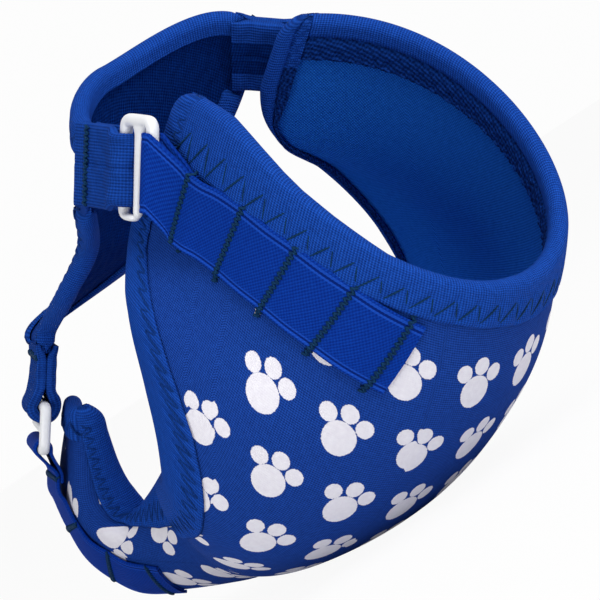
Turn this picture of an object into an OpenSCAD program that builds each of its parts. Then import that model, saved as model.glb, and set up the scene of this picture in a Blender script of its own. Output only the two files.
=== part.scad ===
// Soft recovery garment for a small dog: a cup panel with two wings and a tail,
// closed by a T-shaped back strap with three hooks that grip loops of elastic tape.
// Shapes are drawn in the worn stance (front +X, far side +Y) and then tipped onto the belly.

/* [Cup] */
// Reach of the front waist edge ahead of the middle
front_reach = 86; // [80:1:94]
// Height of the front waist edge
front_h = 150; // [144:1:158]
// Half width of the flat front
front_half = 58; // [52:1:64]
// Height of the wing tips
wing_h = 202; // [196:1:208]
// Half the distance between the wing tips
wing_half = 38; // [34:1:42]
// Depth of a wing end
wing_end = 42; // [40:1:48]
// How much further back the far wing lies
far_back = 9; // [0:1:12]
// How far the far wing reaches past its loop
far_over = 17; // [13:0.5:19]
// How much higher the far waist edge arches
far_arch = 10; // [0:1:14]
// Half width of the garment at the legs
leg_half = 79; // [72:1:86]
// Half width between the legs
crotch_half = 32; // [26:1:36]

/* [Tail] */
// Half width of the tail
tail_half = 17; // [15:1:20]
// Height of the turned-up tail sides
tail_side = 15; // [12:1:18]
// Height of the tail tip
tail_h = 62; // [57:1:66]
// Sideways turn of the tail
tail_roll = 50; // [0:1:55]
// Sideways lean of the tail tip
tail_lean = 20; // [0:1:24]
// How far the tail tip reaches past its loop
tail_over = 10; // [4:1:12]

/* [Strap] */
// Reach of the strap's back behind the middle
back_reach = 76; // [72:1:82]
// Height of the strap's upper edge at the back
back_h = 188; // [182:1:194]
// Half width of the yoke where the stem begins
yoke_half = 24; // [20:1:28]
// Width of the strap ends
strap_w = 27; // [24:1:27]
// Length of a folded strap end from the hook bar
fold_l = 19; // [16:1:22]
// Rise of the far arm in its middle
far_rise = 8; // [0:1:20]

/* [Cloth] */
// Thickness of the outer panel
panel_t = 1.6; // [1:0.1:2]
// Thickness of the lining
lining_t = 1.3; // [0.8:0.1:1.6]
// Gap between sewn layers
layer_gap = 0.3; // [0.2:0.05:0.4]
// Thickness of a binding leaf
leaf_t = 1.4; // [1:0.1:1.6]
// Visible width of the waist binding at the wings
waist_bind_w = 20; // [17:0.5:22]
// Visible width of the waist binding at the front
front_bind_w = 15; // [13:0.5:17]
// Visible width of the leg bindings
leg_bind_w = 13; // [10:0.5:14]

/* [Elastic] */
// Width of the elastic tape
tape_w = 25; // [22:0.5:25]
// Thickness of the elastic tape
tape_t = 1.2; // [0.8:0.1:1.5]
// Length of one cell between bar tacks
cell = 20; // [19:0.5:23]
// Cells on a wing tape
wing_cells = 4; // [3:1:4]
// Cells on the tail tape
tail_cells = 3; // [2:1:3]
// Distance of the first bar tack from the cloth edge
first_tack = 22; // [20:0.5:24]
// How far in from the wing edge the near tape starts
near_over = 3; // [0:0.5:6]
// Rise of the near wing tape towards its loop
near_rise = 8; // [0:0.5:10]
// Rise of the far wing tape towards its loop
far_tape_rise = 11; // [8:0.5:13]

/* [Hooks] */
// Diameter of the hook bars
bar_d = 4; // [3:0.1:4.4]
// Distance from the finger to the strap bar
hook_depth = 15; // [14:0.5:17]
// Clear length inside the hook
hook_clear = 27.8; // [27.8:0.2:32]
// Width of the closed end wall of a hook
hook_wall = 4; // [3:0.5:5]
// Width of the open end wall of a hook
hook_foot = 2; // [1.5:0.5:3]
// Clearance between a bar and the loop round it
bar_clear = 0.35; // [0.3:0.05:0.45]
// Turn of the near hook in the plane of the cloth
near_turn = 16; // [0:1:20]
// Turn of the far hook in the plane of the cloth
far_turn = 1; // [0:1:8]

/* [Stance] */
// Forward tip that lays the worn shape on its belly
rest_tilt = 40; // [38:1:42]
// Depth that the belly is pressed flat on the ground
belly_flat = 1; // [0.5:0.1:1.4]

/* [Hidden] */
$fn = 48;

// Layers, measured outwards from the sewing line between panel and lining
panel_in = layer_gap / 2;
panel_out = panel_in + panel_t;
lining_out = -layer_gap / 2;
lining_in = lining_out - lining_t;
leaf_out = panel_out + layer_gap;
leaf_in = lining_in - layer_gap;
edge_in = leaf_t + 0.4;
bar_r = bar_d / 2;
loop_r = bar_r + bar_clear;
tape_n = leaf_out + tape_t / 2;
finger_in = 10;
finger_n = leaf_out + leaf_t + 2.5 + tape_t + loop_r;
tape_s = waist_bind_w + 0.9 + tape_w / 2;
mid_knot = 0.55;

// Small helpers
function unit(v) = v / norm(v);
function ease(t) = let (c = min(max(t, 0), 1)) c * c * (3 - 2 * c);
function flip(p) = [p.x, -p.y, p.z];
function turn(q, axis, a) = q * cos(a) + cross(axis, q) * sin(a) + axis * (axis * q) * (1 - cos(a));
function tip(p) = [
  cos(rest_tilt) * p.x + sin(rest_tilt) * p.z, p.y, cos(rest_tilt) * p.z - sin(rest_tilt) * p.x
];

// Cup stations from the waist to the tail tip.
// Each row: middle point [x, z], sideways reach there, guide point and edge point of one half,
// then what the far guide point and the far edge point add.
cup_rows = [
  [[front_reach, front_h], front_half, [35, wing_half + 29, wing_h + 3], [-20, wing_half, wing_h],
    [-far_back / 2, 0, far_arch], [-far_back, 0, 0]],
  [[front_reach - 6, front_h - 38], front_half + 6, [30, wing_half + 42, wing_h - wing_end - 8],
    [-33, wing_half + 4, wing_h - wing_end], [-far_back / 2, 0, far_arch], [-far_back, 0, 0]],
  [[front_reach - 17, front_h - 64], front_half, [30, leg_half + 15, 117], [-26, leg_half - 17, 140],
    [0, 0, far_arch / 3], [-far_back / 2, 0, far_arch / 3]],
  [[front_reach - 33, front_h - 88], front_half - 2, [26, leg_half + 13, 88], [-11, leg_half - 4, 117]],
  [[31, 42], 50, [12, leg_half + 5, 64], [-2, leg_half, 92]],
  [[3, 22], 38, [-6, leg_half - 14, 46], [-14, leg_half - 15, 71]],
  [[-29, 6], 24, [-36, crotch_half + 4, 26], [-40, crotch_half, 44]],
  [[-70, -2], tail_half, [-72, tail_half + 3, 1], [-70 + tail_side / 3, tail_half, tail_side]],
  [[-94, 17], tail_half, [-93, tail_half + 2, 18], [-95 + tail_side, tail_half, 20 + tail_side / 2],
    [0, 0, -3], [-4, 0, -3]],
  [[-91, tail_h], tail_half - 1, [-90, tail_half + 1, tail_h], [-98 + tail_side, tail_half - 2, tail_h + 4],
    [0, 2, -8], [0, 1, -11]]
];
cup_last = len(cup_rows) - 1;
function row_point(r) = [cup_rows[r][0][0], 0, cup_rows[r][0][1]];
function row_roll(r) = tail_roll * ease((r - 4.5) / 2.5) * (1 - 0.28 * ease((r - 7) / 2));
function row_shift(r) = -4 * ease((r - 4.5) / 2.5);
function row_axis(r) = unit(row_point(min(r + 1, cup_last)) - row_point(max(r - 1, 0)));
function row_lean(r) = -tail_lean * ease((r - 6) / 2);
function sided(c, i, side) = let (q = c[i] + (side > 0 && len(c) > 4 ? c[i + 2] : [0, 0, 0]))
  [q.x, side * q.y, q.z];
function half_row(r, side) = let (c = cup_rows[r], p = row_point(r)) [
  p, p + [0, side * c[1], 0], sided(c, 2, side), sided(c, 3, side)
];
function placed(r, q) = let (p = row_point(r), rolled = turn(q - p, row_axis(r), row_roll(r)))
  tip(p + turn(rolled, [1, 0, 0], row_lean(r)) + [0, row_shift(r), 0]);
cup_raw = [for (r = [0:cup_last]) [for (side = [-1, 1]) [for (q = half_row(r, side)) placed(r, q)]]];

// A patch is a list of rows; each row holds a near and a far curve of four guide points.
function row_weights(f) = [
  (-f + 2 * f * f - f * f * f) / 2, (2 - 5 * f * f + 3 * f * f * f) / 2,
  (f + 4 * f * f - 3 * f * f * f) / 2, (f * f * f - f * f) / 2
];
function curve_weights(t) = [
  (1 - t) * (1 - t) * (1 - t), 3 * t * (1 - t) * (1 - t), 3 * t * t * (1 - t), t * t * t
];
function row_at(net, r, h) = let (n = len(net) - 1)
  r < 0 ? 2 * net[0][h] - net[1][h] : r > n ? 2 * net[n][h] - net[n - 1][h] : net[r][h];
function at(net, u, v) = let (
    n = len(net) - 1,
    i = min(max(floor(u), 0), n - 1),
    h = v < 0 ? 0 : 1,
    w = row_weights(u - i)
  ) curve_weights(abs(v)) * (w[0] * row_at(net, i - 1, h) + w[1] * row_at(net, i, h)
    + w[2] * row_at(net, i + 1, h) + w[3] * row_at(net, i + 2, h));
step = 0.01;
function along(net, u, v) = (at(net, u + step, v) - at(net, u - step, v)) / (2 * step);
function across(net, u, v) = let (c = min(max(v, -1), 1))
  (at(net, u, min(c + step, 1)) - at(net, u, max(c - step, -1))) / (min(c + step, 1) - max(c - step, -1));
function outward(net, u, v) = unit(cross(along(net, u, v), across(net, u, v)));
function lifted(net, u, v, n) = at(net, u, v) + n * outward(net, u, v);

// Ground and middle of the tipped shape
belly = [for (u = [2:0.25:5], v = [-0.4:0.1:0.4]) lifted(cup_raw, u, v, panel_out)];
floor_z = min([for (p = belly) p.z]) + belly_flat;
reach_x = [for (u = [0:0.25:cup_last], v = [-1:0.25:1]) lifted(cup_raw, u, v, leaf_out + leaf_t).x];
mid_x = (min(reach_x) + max(reach_x)) / 2;
cup = [for (row = cup_raw) [for (half = row) [for (p = half) p - [mid_x, 0, floor_z]]]];
function placed_tip(p) = tip(p) - [mid_x, 0, floor_z];
function grounded(p) = [p.x, p.y, max(p.z, 0)];

// Distances in from an edge, turned into patch coordinates
function u_in(net, v, s) = s / norm(along(net, 0, v));
function u_end(net, v, s) = len(net) - 1 - s / norm(along(net, len(net) - 1, v));
function v_in(net, u, side, s) = side * (1 - s / max(norm(across(net, u, side)), 1.7 * leg_bind_w));

// Solid between two stacked grids of points: bottom and top share one layout of rows
module slab(bottom, top) {
  nr = len(bottom);
  nc = len(bottom[0]);
  size = nr * nc;
  function id(layer, r, c) = layer * size + r * nc + c;
  points = concat([for (row = bottom) for (p = row) p], [for (row = top) for (p = row) p]);
  // Quads of the two halves are split as mirror images
  function split(a, b, c, d, turned) = turned ? [[a, b, d], [b, c, d]] : [[a, b, c], [a, c, d]];
  skins = [for (r = [0:nr - 2], c = [0:nc - 2]) let (far = c >= floor(nc / 2)) each concat(
    split(id(0, r, c), id(0, r + 1, c), id(0, r + 1, c + 1), id(0, r, c + 1), far),
    split(id(1, r, c), id(1, r, c + 1), id(1, r + 1, c + 1), id(1, r + 1, c), far)
  )];
  sides = [for (r = [0:nr - 2]) each [
    [id(0, r, 0), id(1, r + 1, 0), id(0, r + 1, 0)], [id(0, r, 0), id(1, r, 0), id(1, r + 1, 0)],
    [id(0, r, nc - 1), id(0, r + 1, nc - 1), id(1, r + 1, nc - 1)],
    [id(0, r, nc - 1), id(1, r + 1, nc - 1), id(1, r, nc - 1)]
  ]];
  ends = [for (c = [0:nc - 2]) each [
    [id(0, 0, c), id(1, 0, c + 1), id(1, 0, c)], [id(0, 0, c), id(0, 0, c + 1), id(1, 0, c + 1)],
    [id(0, nr - 1, c), id(1, nr - 1, c), id(1, nr - 1, c + 1)],
    [id(0, nr - 1, c), id(1, nr - 1, c + 1), id(0, nr - 1, c + 1)]
  ]];
  polyhedron(points, concat(skins, sides, ends), convexity = 10);
}

// Triangles that close the end of a ring: a tape has its two faces in step, a fold is an open C
function tape_ends(m) = [for (i = [0:m / 2 - 2]) each [[m - 1 - i, i, i + 1], [m - 2 - i, m - 1 - i, i + 1]]];
fold_ends = [
  [0, 1, 14], [1, 13, 14], [1, 2, 13], [2, 12, 13], [2, 3, 12], [3, 4, 12], [4, 11, 12],
  [4, 5, 11], [5, 6, 11], [6, 10, 11], [6, 7, 10], [7, 9, 10], [7, 8, 9]
];

// Closed ring of points swept through a list of sections; flip turns the faces over
module sweep(sections, ends, flip = false) {
  m = len(sections[0]);
  last = len(sections) - 1;
  function face(f) = flip ? [for (i = [len(f) - 1:-1:0]) f[i]] : f;
  walls = [for (k = [0:last - 1], i = [0:m - 1]) let (j = (i + 1) % m) each [
    [k * m + i, k * m + j, k * m + m + j], [k * m + i, k * m + m + j, k * m + m + i]
  ]];
  caps = [for (f = ends) each [[f[2], f[1], f[0]], [for (i = f) last * m + i]]];
  polyhedron([for (s = sections) each s], [for (f = concat(walls, caps)) face(f)], convexity = 10);
}

// Fold of a binding: [distance in from the edge, height off the sewing line], round the cloth edge
function fold_ring(w) = [
  [w, leaf_out + leaf_t], [w * mid_knot, leaf_out + leaf_t + 0.3], [2.5, leaf_out + leaf_t + 0.4],
  [0.3, leaf_t], [0, 0], [0.3, -leaf_t],
  [2.5, leaf_in - leaf_t - 0.4], [w * mid_knot, leaf_in - leaf_t - 0.3], [w, leaf_in - leaf_t],
  [w, leaf_in], [w * mid_knot, leaf_in], [leaf_t, leaf_in],
  [leaf_t, leaf_out], [w * mid_knot, leaf_out], [w, leaf_out]
];

// Columns of a cloth grid: two follow the binding of the side edge, the rest spread evenly
function column(net, u, j, half, inset, w) = let (
    side = j < 0 ? -1 : 1, k = abs(j), last = v_in(net, u, side, w + 0.4)
  ) k == half ? v_in(net, u, side, inset)
    : k == half - 1 ? v_in(net, u, side, w * mid_knot) : last * k / (half - 2);

// Cup cloth
cup_nu = 26;
cup_half = 11;
function cup_u(v, i) = let (lo = u_in(cup, v, edge_in), hi = u_end(cup, v, edge_in + 0.2))
  lo + (hi - lo) * i / cup_nu;
function cup_grid(n) = [for (i = [0:cup_nu]) [for (j = [-cup_half:cup_half]) let (
    u = cup_u(j / cup_half, i)
  ) grounded(lifted(cup, u, column(cup, u, j, cup_half, edge_in, leg_bind_w), n))]];
module cup_panel() {
  color("royalblue") slab(cup_grid(panel_in), cup_grid(panel_out));
}
module cup_lining() {
  color("navy") slab(cup_grid(lining_in), cup_grid(lining_out));
}

// Bindings along the first edge, a side edge and the last edge of a patch
module bound_start(net, out, mid_w, end_w, stations, flip = false) {
  sweep([for (v = stations)
    [for (q = fold_ring(mid_w + (end_w - mid_w) * ease(abs(v) / 0.6)))
      lifted(net, u_in(net, v, q[0]), v, out * q[1])]], fold_ends, flip);
}
module bound_side(net, out, w, side, stations, flip = false) {
  sweep([for (u = stations)
    [for (q = fold_ring(w)) lifted(net, u, v_in(net, u, side, q[0]), out * q[1])]], fold_ends, flip);
}
module bound_end(net, out, w, v0, v1, count, flip = false) {
  sweep([for (k = [0:count]) let (v = v0 + (v1 - v0) * k / count)
    [for (q = fold_ring(w)) lifted(net, u_end(net, v, q[0]), v, out * (q[1] + 0.15 * sign(q[1])))]],
    fold_ends, flip);
}
near_wing_v = v_in(cup, 0, -1, leg_bind_w + layer_gap);
far_wing_v = v_in(cup, 0, 1, leg_bind_w + layer_gap);
near_tip_v = v_in(cup, cup_last, -1, leg_bind_w + 2 * layer_gap);
far_tip_v = v_in(cup, cup_last, 1, leg_bind_w + 3 * layer_gap);
waist_stations = concat(near_wing_v, [for (j = [1 - cup_half:cup_half - 1])
  let (v = column(cup, 0, j, cup_half, edge_in, leg_bind_w))
    if (v > near_wing_v + 0.02 && v < far_wing_v - 0.02) v],
  far_wing_v);
module waist_binding() {
  color("mediumblue") bound_start(cup, 1, front_bind_w, waist_bind_w, waist_stations);
}
function leg_stations(side) = concat(0, [for (i = [0:cup_nu]) cup_u(side, i)], cup_last);
module near_leg_binding() {
  color("mediumblue") bound_side(cup, 1, leg_bind_w, -1, leg_stations(-1), true);
}
module far_leg_binding() {
  color("mediumblue") bound_side(cup, 1, leg_bind_w, 1, leg_stations(1));
}
module tail_tip_binding() {
  color("mediumblue") bound_end(cup, 1, leg_bind_w, near_tip_v, far_tip_v, 4, true);
}

// Elastic tapes. A tape map places [run from the cloth edge, offset across the tape, height].
function run_table(line, t0, t1, count) = let (
    ts = [for (k = [0:count]) t0 + (t1 - t0) * k / count],
    ps = [for (t = ts) line(t)],
    gaps = [for (k = [0:count]) k == 0 ? 0 : norm(ps[k] - ps[k - 1])]
  ) [for (k = 0, a = 0; k <= count; k = k + 1, a = a + (k <= count ? gaps[k] : 0)) [a, ts[k]]];
near_run = run_table(function(v) at(cup, u_in(cup, -v, tape_s), -v), 1, 0, 60);
far_run = run_table(function(v) at(cup, u_in(cup, v, tape_s), v), 1, 0, 60);
tail_run = run_table(function(u) at(cup, u, 0), cup_last, cup_last - 5, 60);
function wing_lift(side, a) = (side > 0 ? far_tape_rise : near_rise)
  * ease((first_tack - a) / (first_tack - finger_in));
function wing_line(side, a, lift) = let (
    v = side * lookup(a + (side > 0 ? far_over : near_over), side > 0 ? far_run : near_run)
  ) [u_in(cup, v, tape_s - lift), v];
// Step of w millimetres across a tape, square to its run, as a change of [u, v]
function square_step(u, v, run, w) = let (
    su = along(cup, u, v), sv = across(cup, u, v), t = unit(cross(unit(cross(su, sv)), run)),
    e = su * su, f = su * sv, g = sv * sv, d = e * g - f * f, r = [su * t, sv * t]
  ) [g * r[0] - f * r[1], e * r[1] - f * r[0]] * w / d;
function wing_map(side) = function(a, w, n) let (
    h = wing_lift(side, a),
    c = wing_line(side, a, h), c0 = wing_line(side, max(a - 2, 0), h), c1 = wing_line(side, a + 2, h),
    q = c + square_step(c[0], c[1], at(cup, c1[0], c1[1]) - at(cup, c0[0], c0[1]), -side * w)
  ) lifted(cup, q[0], q[1], n);
tail_map = function(a, w, n) let (u = lookup(a + tail_over, tail_run))
  lifted(cup, u, w / norm(across(cup, u, 0)), n);

// Frame of a hook: finger middle, pull towards the strap, way to the closed end, outward
function hook_frame(map, swing) = let (
    c = map(finger_in, 0, finger_n),
    n = unit(map(finger_in, 0, finger_n + 1) - c),
    b0 = map(finger_in, 4, 0) - map(finger_in, -4, 0),
    b1 = unit(b0 - n * (b0 * n)),
    p0 = map(finger_in - 2, 0, 0) - map(finger_in + 2, 0, 0),
    p1 = unit(p0 - n * (p0 * n) - b1 * (p0 * b1))
  ) [c, p1 * cos(swing) - b1 * sin(swing), b1 * cos(swing) + p1 * sin(swing), n];
function lifted_frame(f, h) = [f[0] + h * f[3], f[1], f[2], f[3]];
near_frame = lifted_frame(hook_frame(wing_map(-1), near_turn), 1);
far_frame = hook_frame(wing_map(1), far_turn);
tail_frame = lifted_frame(hook_frame(tail_map, 0), 1.5);
function local(f, x, y, z) = f[0] + x * f[1] + y * f[2] + z * f[3];

// Run of a tape: flat cells, a loop round the finger and a return under the first tack
turn_r = loop_r + tape_t / 2;
back_n = leaf_out + leaf_t + 0.15 + tape_t / 2;
top_n = back_n + tape_t + layer_gap;
tack_half = 1.6;
function tape_path(cells) = concat(
  [for (k = [cells * 4:-1:4]) [first_tack + k * cell / 4 + (k == cells * 4 ? 3 : 0), tape_n]],
  [[first_tack + cell / 2, tape_n + 0.2], [first_tack + 5, top_n], [first_tack - tack_half, top_n]],
  [[(first_tack + finger_in) / 2 + 2, top_n + 0.28 * (finger_n - top_n)]],
  [for (t = [55:21.5:270]) [finger_in + turn_r * cos(t), finger_n + turn_r * sin(t)]],
  [[leg_bind_w - 0.5, finger_n - turn_r], [first_tack - 3, back_n], [first_tack + 2, back_n]]
);
tape_rows = [-0.5, -0.17, 0.17, 0.5];
function tape_at(map, f, a, w, n) = let (
    from = first_tack - tack_half, k = ease((from - a) / (from - finger_in - 4)))
  (k == 0 ? map(a, w, n) : k * local(f, finger_in - a, w, n - finger_n) + (1 - k) * map(a, w, n));
function tape_ring(map, f, lo, hi, width) = concat(
  [for (r = tape_rows) tape_at(map, f, hi[0], r * width, hi[1])],
  [for (i = [3:-1:0]) tape_at(map, f, lo[0], tape_rows[i] * width, lo[1])]
);
module tape(map, f, cells, flip) {
  path = tape_path(cells);
  last = len(path) - 1;
  sweep([for (i = [0:last]) let (
      d = unit(path[min(i + 1, last)] - path[max(i - 1, 0)]),
      off = [d.y, -d.x] * tape_t / 2
    ) tape_ring(map, f, path[i] + off, path[i] - off, tape_w)], tape_ends(8), flip);
}
module tacks(map, f, cells, flip) {
  for (k = [0:cells]) {
    a = first_tack + k * cell;
    base = (k == 0 ? top_n : tape_n) + tape_t / 2 + 0.25;
    sweep([for (e = [1.1, -1.1])
      tape_ring(map, f, [a + e, base + 0.8], [a + e, base], tape_w - 1)], tape_ends(8), flip);
  }
}
module near_elastic() {
  color("dodgerblue") tape(wing_map(-1), near_frame, wing_cells, false);
}
module far_elastic() {
  color("dodgerblue") tape(wing_map(1), far_frame, wing_cells, true);
}
module tail_elastic() {
  color("dodgerblue") tape(tail_map, tail_frame, tail_cells, true);
}
module near_bar_tacks() {
  color("darkslategray") tacks(wing_map(-1), near_frame, wing_cells, false);
}
module far_bar_tacks() {
  color("darkslategray") tacks(wing_map(1), far_frame, wing_cells, true);
}
module tail_bar_tacks() {
  color("darkslategray") tacks(tail_map, tail_frame, tail_cells, true);
}

// Strap patch: two arms from the wing hooks, a yoke and a stem down to the tail hook
strap_start = hook_depth + fold_l + 0.3;
up = tip([0, 0, 1]);
function arm_half(f, mid, reach, side, rise) = let (y = side * strap_w / 2) [
  mid, mid + [0, reach, 0], local(f, strap_start + 14, y, 0) + rise * up, local(f, strap_start, y, 0)
];
function arm_row(mid, reach, side) = [
  arm_half(near_frame, mid, -reach, side, 0), arm_half(far_frame, mid, reach, side, far_rise)
];
function yoke_row(mid, reach, guide, edge) = [for (s = [-1, 1]) [
  placed_tip([mid[0], 0, mid[1]]), placed_tip([mid[0], s * reach, mid[1]]),
  placed_tip([guide.x, s * guide.y, guide.z]), placed_tip([edge.x, s * edge.y, edge.z])
]];
function stem_row(x) = [for (s = [-1, 1]) [for (k = [0:3]) local(tail_frame, x, s * k * strap_w / 6, 0)]];
strap = [
  arm_row(placed_tip([-back_reach, 0, back_h]), 16, 1),
  arm_row(placed_tip([-back_reach + 3, 0, back_h - 24]), 16, -1),
  yoke_row([-back_reach + 2, 133], 13, [-70, yoke_half + 4, 133], [-60, yoke_half + 8, 137]),
  yoke_row([-back_reach - 4, 114], 9, [-82, yoke_half - 4, 112], [-77, yoke_half + 3, 112]),
  stem_row(strap_start + 8),
  stem_row(strap_start)
];
strap_last = len(strap) - 1;
strap_bind_w = 10;
strap_nu = 16;
strap_half = 9;
function strap_u(v, i) = let (lo = u_in(strap, v, edge_in)) lo + (strap_last - lo) * i / strap_nu;
function strap_inset(u) = edge_in * ease((u - 0.9) / 0.3) + (u < 1 ? 0.2 + 3 * u * (1 - u) : 0);
function strap_grid(n) = [for (i = [0:strap_nu]) [for (j = [-strap_half:strap_half]) let (
    u = strap_u(j / strap_half, i)
  ) lifted(strap, u, column(strap, u, j, strap_half, strap_inset(u), strap_bind_w), -n)]];
function strap_stations(side) = concat(1.1, [for (i = [0:strap_nu])
  let (u = strap_u(side, i)) if (u > 1.15) u]);
module strap_panel() {
  color("royalblue") slab(strap_grid(panel_out), strap_grid(panel_in));
}
module strap_lining() {
  color("navy") slab(strap_grid(lining_out), strap_grid(lining_in));
}
module strap_waist_binding() {
  color("mediumblue") bound_start(strap, -1, strap_bind_w, strap_bind_w, [for (k = [-10:10]) 0.0985 * k], true);
}
module strap_near_leg_binding() {
  color("mediumblue") bound_side(strap, -1, strap_bind_w, -1, strap_stations(-1));
}
module strap_far_leg_binding() {
  color("mediumblue") bound_side(strap, -1, strap_bind_w, 1, strap_stations(1), true);
}

// Places a piece in a hook's frame: x towards the strap, z outward
module in_frame(f) {
  y = cross(f[3], f[1]);
  multmatrix([
    [f[1].x, y.x, f[3].x, f[0].x], [f[1].y, y.y, f[3].y, f[0].y], [f[1].z, y.z, f[3].z, f[0].z], [0, 0, 0, 1]
  ]) children();
}
function closed_end(f) = sign(cross(f[3], f[1]) * f[2]);

// Folded strap end with a round eye for the hook bar
fold_t = 2.4;
eye_r = loop_r + fold_t;
stack = leaf_out + leaf_t - 0.3;
module fold_profile() {
  difference() {
    union() {
      circle(r = eye_r);
      polygon([[0, eye_r], [fold_l - 6, stack], [fold_l, stack], [fold_l, -stack], [fold_l - 6, -stack],
        [0, -eye_r]]);
    }
    circle(r = loop_r);
    polygon([[0, loop_r], [fold_l - 8, 0.15], [fold_l - 8, -0.15], [0, -loop_r]]);
  }
}
module strap_loop(f) {
  color("royalblue") in_frame(f) translate([hook_depth, 0, 0]) rotate([90, 0, 0])
    linear_extrude(strap_w, center = true) fold_profile();
}
module near_strap_loop() {
  strap_loop(near_frame);
}
module far_strap_loop() {
  strap_loop(far_frame);
}
module tail_strap_loop() {
  strap_loop(tail_frame);
}

// Zigzag rows that close the folded ends
module loop_stitches(f) {
  rows = 9;
  span = strap_w - 3;
  band = [for (k = [0:rows]) [fold_l - (k % 2 == 0 ? 5 : 2), span * (k / rows - 0.5)]];
  color("darkslategray") in_frame(f) translate([hook_depth, 0, stack + 0.05]) linear_extrude(0.6)
    polygon(concat(band, [for (k = [rows:-1:0]) band[k] + [1, 0]]));
}
module near_loop_stitches() {
  loop_stitches(near_frame);
}
module far_loop_stitches() {
  loop_stitches(far_frame);
}
module tail_loop_stitches() {
  loop_stitches(tail_frame);
}

// Moulded hook: strap bar, middle bar and open finger between two end walls
middle = (hook_depth - eye_r + loop_r + tape_t) / 2;
module bar(x, y0, y1) {
  translate([x, y1, 0]) rotate([90, 0, 0]) cylinder(r = bar_r, h = y1 - y0);
}
module end_wall(x0, x1, y, w) {
  bar(x0, y, y + w);
  bar(x1, y, y + w);
  translate([x0, y, -bar_r]) cube([x1 - x0, w, bar_d]);
}
module hook(f) {
  half = hook_clear / 2;
  color("white") in_frame(f) rotate([closed_end(f) > 0 ? 0 : 180, 0, 0]) union() {
    end_wall(0, hook_depth, half, hook_wall);
    end_wall(middle, hook_depth, -half - hook_foot, hook_foot);
    bar(hook_depth, -half - 1, half + 1);
    bar(0, -half + 2, half + 1);
    translate([0, -half + 2, 0]) sphere(r = bar_r);
    translate([0, 0, -1.5]) linear_extrude(3) polygon([
      [middle - 2.1, half + 1], [middle + 2.1, half + 1], [middle + 1.4, -half - 1], [middle - 1.4, -half - 1]
    ]);
  }
}
module near_hook() {
  hook(near_frame);
}
module far_hook() {
  hook(far_frame);
}
module tail_hook() {
  hook([tail_frame[0], tail_frame[1], -tail_frame[2], tail_frame[3]]);
}

cup_panel();
cup_lining();
waist_binding();
near_leg_binding();
far_leg_binding();
tail_tip_binding();
near_elastic();
far_elastic();
tail_elastic();
near_bar_tacks();
far_bar_tacks();
tail_bar_tacks();
strap_panel();
strap_lining();
strap_waist_binding();
strap_near_leg_binding();
strap_far_leg_binding();
near_strap_loop();
far_strap_loop();
tail_strap_loop();
near_loop_stitches();
far_loop_stitches();
tail_loop_stitches();
near_hook();
far_hook();
tail_hook();
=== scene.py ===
# %% [markdown]
# # A hook-on recovery garment for a small dog
# The garment is a blue cup of printed neoprene with two wings and a tail. A T-shaped back strap
# carries three white hooks, and each hook grips a loop of elastic tape on the cup.
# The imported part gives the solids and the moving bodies. This lesson dresses them: every piece of
# cloth is a surface worked out with numpy, laid where its solid is.

import bpy
import numpy as np
from mathutils import Matrix


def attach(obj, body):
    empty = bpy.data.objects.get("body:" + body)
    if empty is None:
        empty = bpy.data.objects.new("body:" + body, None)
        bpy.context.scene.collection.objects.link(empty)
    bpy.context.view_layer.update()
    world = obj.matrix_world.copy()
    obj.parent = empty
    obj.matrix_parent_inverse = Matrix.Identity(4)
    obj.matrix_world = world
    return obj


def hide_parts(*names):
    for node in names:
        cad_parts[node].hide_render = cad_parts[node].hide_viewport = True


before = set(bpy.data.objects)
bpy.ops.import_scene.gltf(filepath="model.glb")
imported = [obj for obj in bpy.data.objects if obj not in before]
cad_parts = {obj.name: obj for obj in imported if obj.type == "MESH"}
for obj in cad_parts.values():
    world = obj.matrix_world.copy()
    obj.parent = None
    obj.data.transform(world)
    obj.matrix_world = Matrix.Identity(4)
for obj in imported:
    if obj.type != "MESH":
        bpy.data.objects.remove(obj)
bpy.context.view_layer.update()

# %% [markdown]
# ## Small helpers
# A few formulas come back all through the lesson: a smooth step, a bell, running lengths and turns.
# They take whole arrays, so that one line can shape all the points of a piece of cloth.

# %% Array helpers
MM = 0.001


def ease(t):
    """Smooth step: 0 below 0, 1 above 1, and 3t^2 - 2t^3 between."""
    t = np.clip(t, 0, 1)
    return t * t * (3 - 2 * t)


def hump(x, at, width):
    """Bell of height 1: e to the power of minus the squared distance from a place, counted in widths."""
    return np.exp(-(((x - at) / width) ** 2))


def curve(places, values):
    """Function that runs straight from value to value between places, and level past the ends."""
    return lambda x: np.interp(x, places, values)


def size(v):
    """Length of vectors."""
    return np.linalg.norm(v, axis=-1)


def unit(v):
    """Vector divided by its length."""
    return v / np.linalg.norm(v, axis=-1, keepdims=True)


def spread(*values):
    """Values as float arrays of one common shape."""
    return np.broadcast_arrays(*(np.asarray(value, float) for value in values))


def crossed(rows, cols):
    """Two grids that pair every row value with every column value."""
    return np.meshgrid(rows, cols, indexing="ij")


def run_table(points, axis=0):
    """Running length over points along one axis of their grid: 0, then the sum of the steps so far."""
    run = np.cumsum(size(np.diff(points, axis=axis)), axis)
    return np.concatenate([0 * np.take(run, [0], axis), run], axis)


def beside(path):
    """Unit vectors square to a flat path: its direction turned by a right angle."""
    d = unit(np.gradient(path, axis=0))
    return np.stack([d[:, 1], -d[:, 0]], -1)


def even_steps(p, step):
    """Points at even steps along straight runs, and the running length at each."""
    run = run_table(p)
    at = np.linspace(0, run[-1], int(run[-1] / step) + 1)
    return np.stack([np.interp(at, run, p[:, k]) for k in range(p.shape[1])], -1), at


def smooth_path(p, step):
    """Path along points at even steps: two passes of corner cutting, then even spacing."""
    for _ in range(2):
        cut = [0.75 * p[:-1] + 0.25 * p[1:], 0.25 * p[:-1] + 0.75 * p[1:]]
        p = np.concatenate([p[:1], np.stack(cut, 1).reshape(-1, p.shape[1]), p[-1:]])
    return even_steps(p, step)[0]


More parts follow.
